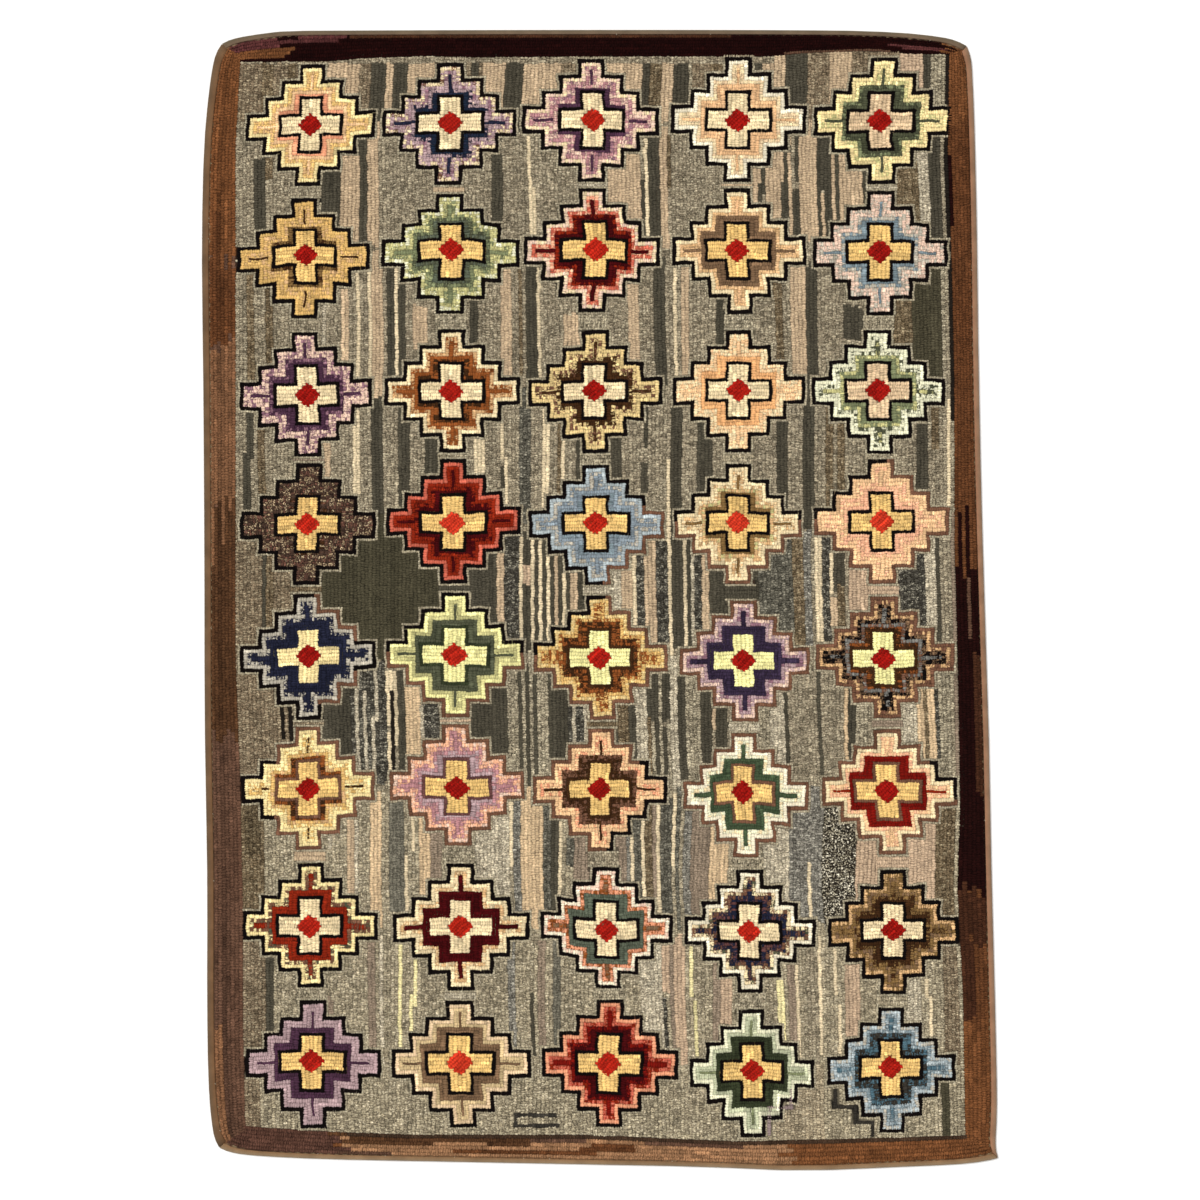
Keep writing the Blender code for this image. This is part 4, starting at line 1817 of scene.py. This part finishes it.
@dataclass
class Foundation:
    """The cloth under the pile, with its hem turned under, as one closed sheet.

    Attributes:
        outline: The tape's outer edge.
        columns: How many faces the back has across the rug.
        rows: How many it has along the rug.
        under_tape: How high the cloth lies over the tape's back lap.
        back_lap: How far in that lap reaches.
        slope: How wide the slope beside it is.
        rounding: How round its fold is.
        pile_inset: How far past the front laps the feet of the loops start.
        ground_top: How high the cloth and the feet of the loops reach under their tops.
        hem_edge: How far past the front laps the flat of the hem reaches.
        wool_shades: How light the wool shows on top, as painted shade in the gaps between the loops, and
            on the back.
    """

    outline: Outline
    columns: int = 128
    rows: int = 184
    under_tape: float = TAPE + CLEARANCE
    back_lap: float = 28.6 * MM
    slope: float = 4 * MM
    rounding: float = 0.8 * MM
    pile_inset: float = 4 * MM
    ground_top: float = 6.0 * MM
    hem_edge: float = 1.6 * MM
    wool_shades: tuple = (0.4, 0.8)

    def ring(self, insets: dict[Side, float]) -> Points:
        """The outline drawn in, as a ring of points with a fixed count on each side.

        Args:
            insets: How far each side moves in.

        Returns:
            The ring's points, anticlockwise from the top left corner.
        """
        counts = {Side.LEFT: self.rows, Side.RIGHT: self.rows}
        parts = []
        for side in Side:
            shares = np.linspace(0.0, 1.0, counts.get(side, self.columns) + 1)[:-1]
            parts.append(resampled(self.outline.sides[side], shares))
        return self.outline.drawn_in(np.vstack(parts), insets)

    def grid(self, ring: Points) -> Points:
        """A grid of points inside a ring, from bottom left to top right.

        Args:
            ring: The ring's points, in the order in which the ring method gives them.

        Returns:
            The x and y of the grid's points.
        """
        rows, columns = self.rows, self.columns
        left = ring[: rows + 1][::-1]
        bottom = ring[rows : rows + columns + 1]
        right = ring[rows + columns : 2 * rows + columns + 1]
        top = np.vstack([ring[2 * rows + columns :], ring[:1]])[::-1]
        s = np.linspace(0, 1, columns + 1)[None, :, None]
        t = np.linspace(0, 1, rows + 1)[:, None, None]
        edges = (1 - s) * left[:, None] + s * right[:, None] + (1 - t) * bottom + t * top
        low = (1 - s) * bottom[0] + s * bottom[-1]
        high = (1 - s) * top[0] + s * top[-1]
        return (edges - (1 - t) * low - t * high).reshape(-1, 2)

    def grid_ring(self) -> Points:
        """Numbers of the back's border points, in the order of the rings."""
        rows, columns = self.rows, self.columns
        number = np.arange((rows + 1) * (columns + 1)).reshape(rows + 1, columns + 1)
        return np.concatenate(
            [number[:0:-1, 0], number[0, :-1], number[:-1, -1], number[-1, :0:-1]]
        )

    def build(self, loops: Loops) -> bpy.types.Object:
        """Makes the cloth.

        Args:
            loops: The whole pile, whose colours show on the back.

        Returns:
            The object.
        """
        over = self.outline.all_round
        inner = self.under_tape + self.rounding
        levels = [
            (over(self.back_lap), self.under_tape),
            (over(inner), self.under_tape),
            (over(self.under_tape), inner),
            (over(self.under_tape), HEM_TOP - self.rounding),
            (over(inner), HEM_TOP),
            (self.outline.past_lap(self.hem_edge), HEM_TOP),
        ]
        back = self.grid(self.ring(over(self.back_lap + self.slope)))
        top = self.grid(self.ring(self.outline.past_lap(self.pile_inset)))
        layers = [np.column_stack([back, np.zeros(len(back))])]
        numbers = [self.grid_ring()]
        total = len(back)
        for insets, height in levels:
            flat = self.ring(insets)
            layers.append(np.column_stack([flat, np.full(len(flat), height)]))
            numbers.append(total + np.arange(len(flat)))
            total += len(flat)
        layers.append(np.column_stack([top, self.ground_top + swell(*top.T)]))
        numbers.append(total + self.grid_ring())
        quads = [self.grid_quads(), total + self.grid_quads()[:, ::-1]]
        for ring, following in zip(numbers, numbers[1:]):
            quads.append(
                np.column_stack([ring, np.roll(ring, -1), np.roll(following, -1), following])
            )
        points = np.vstack(layers)
        piece = make_object("foundation", points, np.vstack(quads))
        self.show_wool(piece, points, loops, total)
        unfold(piece.data, self.flat_map(points, len(back)))
        piece.data.materials.append(Burlap().material())
        log.info("foundation: %d faces", len(piece.data.polygons))
        return piece

    def grid_quads(self) -> Points:
        """The faces of the back, facing down."""
        rows, columns = self.rows, self.columns
        number = np.arange((rows + 1) * (columns + 1)).reshape(rows + 1, columns + 1)
        corners = [number[:-1, :-1], number[1:, :-1], number[1:, 1:], number[:-1, 1:]]
        return np.stack([corner.ravel() for corner in corners], axis=1)

    def show_wool(
        self, piece: bpy.types.Object, points: Points, loops: Loops, first_top: int
    ) -> None:
        """Gives each point the colour of the nearest loop, darkened on top into painted shade, and shows
        the jute under them only.

        Args:
            piece: The cloth.
            points: Its points.
            loops: The pile.
            first_top: The number of the first point between the feet of the loops.
        """
        is_top = np.arange(len(points)) >= first_top
        tree = KDTree(len(loops.centre))
        for i, (x, y) in enumerate(loops.centre):
            tree.insert((x, y, 0.0), i)
        tree.balance()
        nearest = [tree.find((x, y, 0.0))[1] for x, y in points[:, :2]]
        # Painted shade: on top, where the cloth shows in the gaps between the loops, the nearest loop's
        # colour is darkened to stand for the shade there; the back is darkened less.
        painted_gap_shade_and_back_tone = np.where(is_top, *self.wool_shades)[:, None]
        paint(piece.data, "wool", loops.colour[nearest] * painted_gap_shade_and_back_tone)
        paint(piece.data, "jute", np.repeat(1.0 - is_top[:, None], 3, axis=1))

    @staticmethod
    def flat_map(points: Points, back_count: int) -> Points:
        """A map with the back over two thirds of the square and the rest beside it."""
        low, high = points[:, :2].min(axis=0), points[:, :2].max(axis=0)
        share = (points[:, :2] - low) / (high - low)
        is_back = np.arange(len(points)) < back_count
        u = np.where(is_back, 0.66 * share[:, 0], 0.68 + 0.31 * share[:, 0])
        return np.column_stack([u, share[:, 1]]) * 0.99 + 0.005


@dataclass(frozen=True)
class Tape:
    """One side's binding tape, folded over the hem.

    Attributes:
        side: The side that it binds.
        inner: Its shade beside the pile.
        outer: Its shade on the outer fold, partly painted shade where the fold rolls down.
        spacing: How far apart its sections stand.
        back_lap: How far in its back lap reaches.
        rounding: How round its outer folds are.
        corner_gap: Room left at each end.
        fold_room: How much of its cut width its folds take up; not used.
        puff: How high its front lap waves, and the lengths of its waves.
    """

    side: Side
    inner: str
    outer: str
    spacing: float = 12 * MM
    back_lap: float = 28 * MM
    rounding: float = 1.4 * MM
    corner_gap: float = 0.4 * MM
    fold_room: float = 1.2 * MM
    puff: tuple = (0.07 * MM, (0.31, 0.083, 0.041))

    def face(self, depth: float, lap: float) -> list[tuple]:
        """One face of the folded tape, from the end of its back lap to that of its front lap.

        Args:
            depth: How deep the face lies under the outer one.
            lap: How far in the front lap reaches.

        Returns:
            The inset, the height and the place across of each point.
        """
        top = HEM_TOP + CLEARANCE + TAPE
        radius = self.rounding - depth
        turns = [math.radians(angle) for angle in (0, 30, 60, 90)]
        points = [(self.back_lap, depth, 1.0)]
        for turn in turns:
            points.append(
                (depth + radius * (1 - math.sin(turn)), depth + radius * (1 - math.cos(turn)), 1.0)
            )
        for turn in turns:
            inset = depth + radius * (1 - math.cos(turn))
            points.append((inset, top - depth - radius * (1 - math.sin(turn)), 0.9))
        points += [(lap * 0.45, top - depth, 0.55), (lap * 0.75, top - depth, 0.15)]
        points += [(lap - 0.5 * MM, top - depth, 0.0), (lap, top - abs(depth - 0.35 * MM), 0.0)]
        return points

    def build(self, outline: Outline, rng: np.random.Generator) -> bpy.types.Object:
        """Makes the tape.

        Args:
            outline: The line that it follows.
            rng: The source of chance.

        Returns:
            The object.
        """
        line = outline.sides[self.side]
        length = float(np.linalg.norm(np.diff(line, axis=0), axis=1).sum())
        count = round(length / self.spacing)
        end = self.corner_gap / length
        path = resampled(line, np.linspace(end, 1 - end, count + 1))
        lap = outline.FRONT_LAP[self.side]
        outer, inner = self.face(0.0, lap), self.face(TAPE, lap)
        reach, wavelengths = self.puff
        waves = rng.uniform(0, 2 * math.pi, len(wavelengths))
        along = np.linspace(0, length, count + 1)
        wave = sum(
            np.sin(along * 2 * math.pi / wavelength + start)
            for wavelength, start in zip(wavelengths, waves)
        )
        rows, place = [], []
        for inset, height, across_tape in outer + inner[::-1]:
            row = outline.drawn_in(path, outline.all_round(inset))
            raised = reach * wave if height > HEM_TOP + 0.5 * CLEARANCE else 0.0
            rows.append(np.column_stack([row, np.full(len(row), height) + raised]))
            place.append(np.full(len(row), across_tape))
        points = np.vstack(rows)
        per_row, total = count + 1, len(points)
        numbers = np.arange(total).reshape(-1, per_row)
        following = np.roll(numbers, -1, axis=0)
        corners = [numbers[:, :-1], numbers[:, 1:], following[:, 1:], following[:, :-1]]
        quads = np.stack([corner.ravel() for corner in corners], axis=1)
        quads = np.vstack([quads, self.end_caps(numbers)])
        piece = make_object(f"tape_{self.side.value}", points, quads)
        # How far across the tape each point lies, which sets how much of the outer shade, partly painted
        # shade, it takes.
        shade = np.concatenate(place)[:, None].repeat(3, axis=1)
        paint(piece.data, "across", shade)
        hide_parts(f"binding_{self.side.value}")
        finish = CottonTape(f"cotton tape {self.side.value}", self.inner, self.outer)
        piece.data.materials.append(finish.material())
        log.info("tape %s: %.0f mm long", self.side.value, length / MM)
        return piece

    @staticmethod
    def end_caps(numbers: Points) -> Points:
        """Faces across both ends of the folded tape, each from its outer to its inner face."""
        outer, inner = numbers[: len(numbers) // 2], numbers[::-1][: len(numbers) // 2]
        corners = [outer[:-1], outer[1:], inner[1:], inner[:-1]]
        first = np.stack([corner[:, 0] for corner in corners], axis=1)
        last = np.stack([corner[:, -1] for corner in corners[::-1]], axis=1)
        return np.vstack([first, last])


@dataclass
class Stitches:
    """Small slanting stitches that hold the front lap of the tape down.

    Attributes:
        outline: The line that they follow.
        rng: The source of chance.
        spacing: How far apart they are.
        reach: How far a stitch reaches across the lap's edge.
        slant: How far it runs along the edge.
        thickness: How thick the thread is.
        shades: The thread's shades.
        odds: How often each of them comes.
        heights: How high a stitch lies at its four places, from the tape to the pile.
    """

    outline: Outline
    rng: np.random.Generator
    spacing: float = 8.5 * MM
    reach: float = 2.4 * MM
    slant: float = 2.0 * MM
    thickness: float = 0.45 * MM
    shades: str = "4a3527 5a4331 6b5440 d8cbb0"
    odds: tuple = (0.4, 0.33, 0.22, 0.05)
    heights: tuple = (3.9 * MM, 4.95 * MM, 5.0 * MM, 3.6 * MM)

    def build(self) -> bpy.types.Object:
        """Makes all stitches as one piece."""
        places, headings = [], []
        for side in Side:
            line = self.outline.drawn_in(self.outline.sides[side], self.outline.past_lap(0.0))
            length = float(np.linalg.norm(np.diff(line, axis=0), axis=1).sum())
            count = round(length / self.spacing)
            even = (np.arange(count) + 0.5 + self.rng.uniform(-0.25, 0.25, count)) / count
            here, ahead = resampled(line, even), resampled(line, np.minimum(even + 0.002, 1.0))
            heading = ahead - here
            places.append(here)
            headings.append(heading / np.linalg.norm(heading, axis=1, keepdims=True))
        places, headings = np.vstack(places), np.vstack(headings)
        inward = np.column_stack([-headings[:, 1], headings[:, 0]])
        count = len(places)
        shares = np.array([-1.0, -0.4, 0.4, 1.0])
        heights = np.array(self.heights)
        middle = (
            places[:, None]
            + inward[:, None] * (shares * self.reach / 2)[None, :, None]
            + headings[:, None] * (shares * self.slant / 2)[None, :, None]
        )
        direction = middle[:, -1] - middle[:, 0]
        direction /= np.linalg.norm(direction, axis=1, keepdims=True)
        beside = np.column_stack([direction[:, 1], -direction[:, 0]])
        around = np.radians([0, 90, 180, 270])
        radius = self.thickness / 2
        flat = middle[:, :, None] + (beside[:, None] * radius)[:, :, None] * np.cos(around)[
            None, None, :, None
        ]
        height = heights[None, :, None] + radius * np.sin(around)[None, None, :]
        height = np.broadcast_to(height, (count, 4, 4))
        points = np.concatenate([flat, height[..., None]], axis=3).reshape(-1, 3)
        tube = []
        for ring in range(3):
            for turn in range(4):
                near, after = 4 * ring + turn, 4 * ring + (turn + 1) % 4
                tube.append((near, near + 4, after + 4, after))
        quads = (np.array(tube)[None] + 16 * np.arange(count)[:, None, None]).reshape(-1, 4)
        piece = make_object("stitches", points, quads)
        shades = linear_colours(self.shades)
        picks = self.rng.choice(len(shades), size=count, p=self.odds)
        paint(piece.data, "thread", shades[picks].repeat(16, axis=0))
        piece.data.materials.append(SewingThread().material())
        log.info("stitches: %d", count)
        return piece


@dataclass
class HookedRug:
    """The whole rug, from its chart to its pieces.

    Attributes:
        outline: The tape's outer edge.
        seed: The start of all chance in it.
        edges: The ground's edges.
        drift: How the hand-drawn lines wander.
    """

    outline: Outline
    seed: int = 4
    edges: Field = Field()
    drift: Drift = Drift()

    def build(self) -> None:
        """Makes the foundation and everything on it."""
        rng = np.random.default_rng(self.seed)
        hooker = Hooker(rng)
        pile = Pile(rng)
        ordered = [Medallion(plan, self.drift) for plan in PLANS]
        medallions = [ordered[i : i + COLUMNS] for i in range(0, len(ordered), COLUMNS)]
        ground = Ground(self.edges, medallions, self.drift)
        groups = self.medallion_columns(medallions, ground, hooker)
        rows = ground.hook(hooker)
        thirds = np.array_split(np.arange(len(rows)), 3)
        for name, third in zip(("left", "middle", "right"), thirds):
            groups[f"ground_{name}"] = Loops.joined([part for k in third for part in rows[k]])
        border = Border(self.outline, self.edges)
        for side in Side:
            groups[f"border_{side.value}"] = border.hook(side, hooker)
        finish = HookedWool().material()
        for name, loops in groups.items():
            piece = pile.build(name, loops)
            piece.data.materials.append(finish)
        foundation = Foundation(self.outline).build(Loops.joined(list(groups.values())))
        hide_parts("hooked_rug")
        stitches = Stitches(self.outline, rng).build()

    def medallion_columns(
        self, medallions: list[list[Medallion]], ground: Ground, hooker: Hooker
    ) -> dict[str, Loops]:
        """Hooks the medallions with what lies between their tips, column by column.

        Args:
            medallions: The medallions, row by row.
            ground: Knows the gaps between tips.
            hooker: Lays the runs.

        Returns:
            The loops of each column, by the name of its piece.
        """
        between = ground.between_tips(hooker)
        groups = {}
        for i, column in enumerate(zip(*medallions)):
            parts = [medallion.hook(hooker) for medallion in column]
            for medallion in column:
                halo = medallion.halo(hooker)
                keep = self.edges.holds(halo.centre, 0.2 * ROW)
                for other in (m for line in medallions for m in line):
                    if other is not medallion:
                        keep &= ~self.covered(other, halo.centre)
                parts.append(halo.where(keep))
            parts += between[i]
            groups[f"medallions_{i + 1}"] = Loops.joined(parts)
        return groups

    def covered(self, medallion: Medallion, points: Points) -> Points:
        """Which points lie under a medallion's outer row."""
        local = medallion.unplace(points, self.drift.at(points))
        half = medallion.outline.half_width(local[:, 1], 0.7 * ROW)
        return np.abs(local[:, 0]) < half


# The tapes' shades beside the pile and on the outer fold; the outer ones are partly painted shade where
# the fold rolls down.
TAPES = (
    Tape(Side.LEFT, "6c4e34", "5d4b38"),
    Tape(Side.BOTTOM, "7d5f42", "7f6c54"),
    Tape(Side.RIGHT, "8e664c", "76604c"),
    Tape(Side.TOP, "6b5846", "605442"),
)


@dataclass
class Studio:
    """The floor, the light and the camera.

    Attributes:
        frame_width: How wide a piece of floor the picture shows.
        distance: How high the camera stands.
        sensor: The camera's sensor width, in millimetres.
        floor_size: How wide the floor is.
        fill: How bright the light from all round is.
        key_power: How strong the soft light is, in watts for each square metre.
        key_place: The direction that it comes from.
        key_spread: How many degrees wide it is, seen from the rug.
    """

    frame_width: float = 1200 * PIXEL
    distance: float = 5.5
    sensor: float = 36.0
    floor_size: float = 16.0
    fill: float = 0.78
    key_power: float = 2.1
    key_place: tuple = (-3.4, 2.8, 5.6)
    key_spread: float = 25.0

    def build(self) -> None:
        """Sets everything up."""
        self.add_floor()
        self.add_light()
        self.add_camera()
        bpy.context.scene.view_settings.view_transform = "Standard"

    def add_floor(self) -> None:
        """A plain pale floor just under the rug."""
        half = self.floor_size / 2
        mesh = bpy.data.meshes.new("floor")
        corners = [(-half, -half, 0), (half, -half, 0), (half, half, 0), (-half, half, 0)]
        mesh.from_pydata(corners, [], [(0, 1, 2, 3)])
        floor = bpy.data.objects.new("floor", mesh)
        floor.location.z = -0.2 * MM
        bpy.context.scene.collection.objects.link(floor)
        mesh.materials.append(FloorPaint().material())

    def add_light(self) -> None:
        """A soft light from the upper left and an even light from all round."""
        world = bpy.data.worlds.new("studio")
        world.use_nodes = True
        background = world.node_tree.nodes["Background"]
        background.inputs["Color"].default_value = (1.0, 1.0, 1.0, 1.0)
        background.inputs["Strength"].default_value = self.fill
        bpy.context.scene.world = world
        lamp = bpy.data.lights.new("soft light", "SUN")
        lamp.angle = math.radians(self.key_spread)
        lamp.energy = self.key_power
        holder = bpy.data.objects.new("soft light", lamp)
        holder.location = self.key_place
        target = np.array(self.key_place)
        pitch = math.atan2(math.hypot(target[0], target[1]), target[2])
        holder.rotation_euler = (pitch, 0.0, math.atan2(target[0], -target[1]))
        bpy.context.scene.collection.objects.link(holder)

    def add_camera(self) -> None:
        """A camera straight above the rug's middle, with the photograph's framing."""
        data = bpy.data.cameras.new("camera")
        data.sensor_width = self.sensor
        data.lens = self.sensor * self.distance / self.frame_width
        data.clip_end = 100.0
        camera = bpy.data.objects.new("camera", data)
        camera.location = (0.0, 0.0, self.distance)
        bpy.context.scene.collection.objects.link(camera)
        bpy.context.scene.camera = camera


def main() -> None:
    """Builds the rug, its tapes and the studio over the frame."""
    logging.basicConfig(level=logging.INFO, format="%(message)s")
    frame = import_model()
    outline = Outline.from_frame(frame)
    HookedRug(outline).build()
    rng = np.random.default_rng(TAPE_SEED)
    for tape in TAPES:
        tape.build(outline, rng)
    Studio().build()


if __name__ == "__main__":
    main()
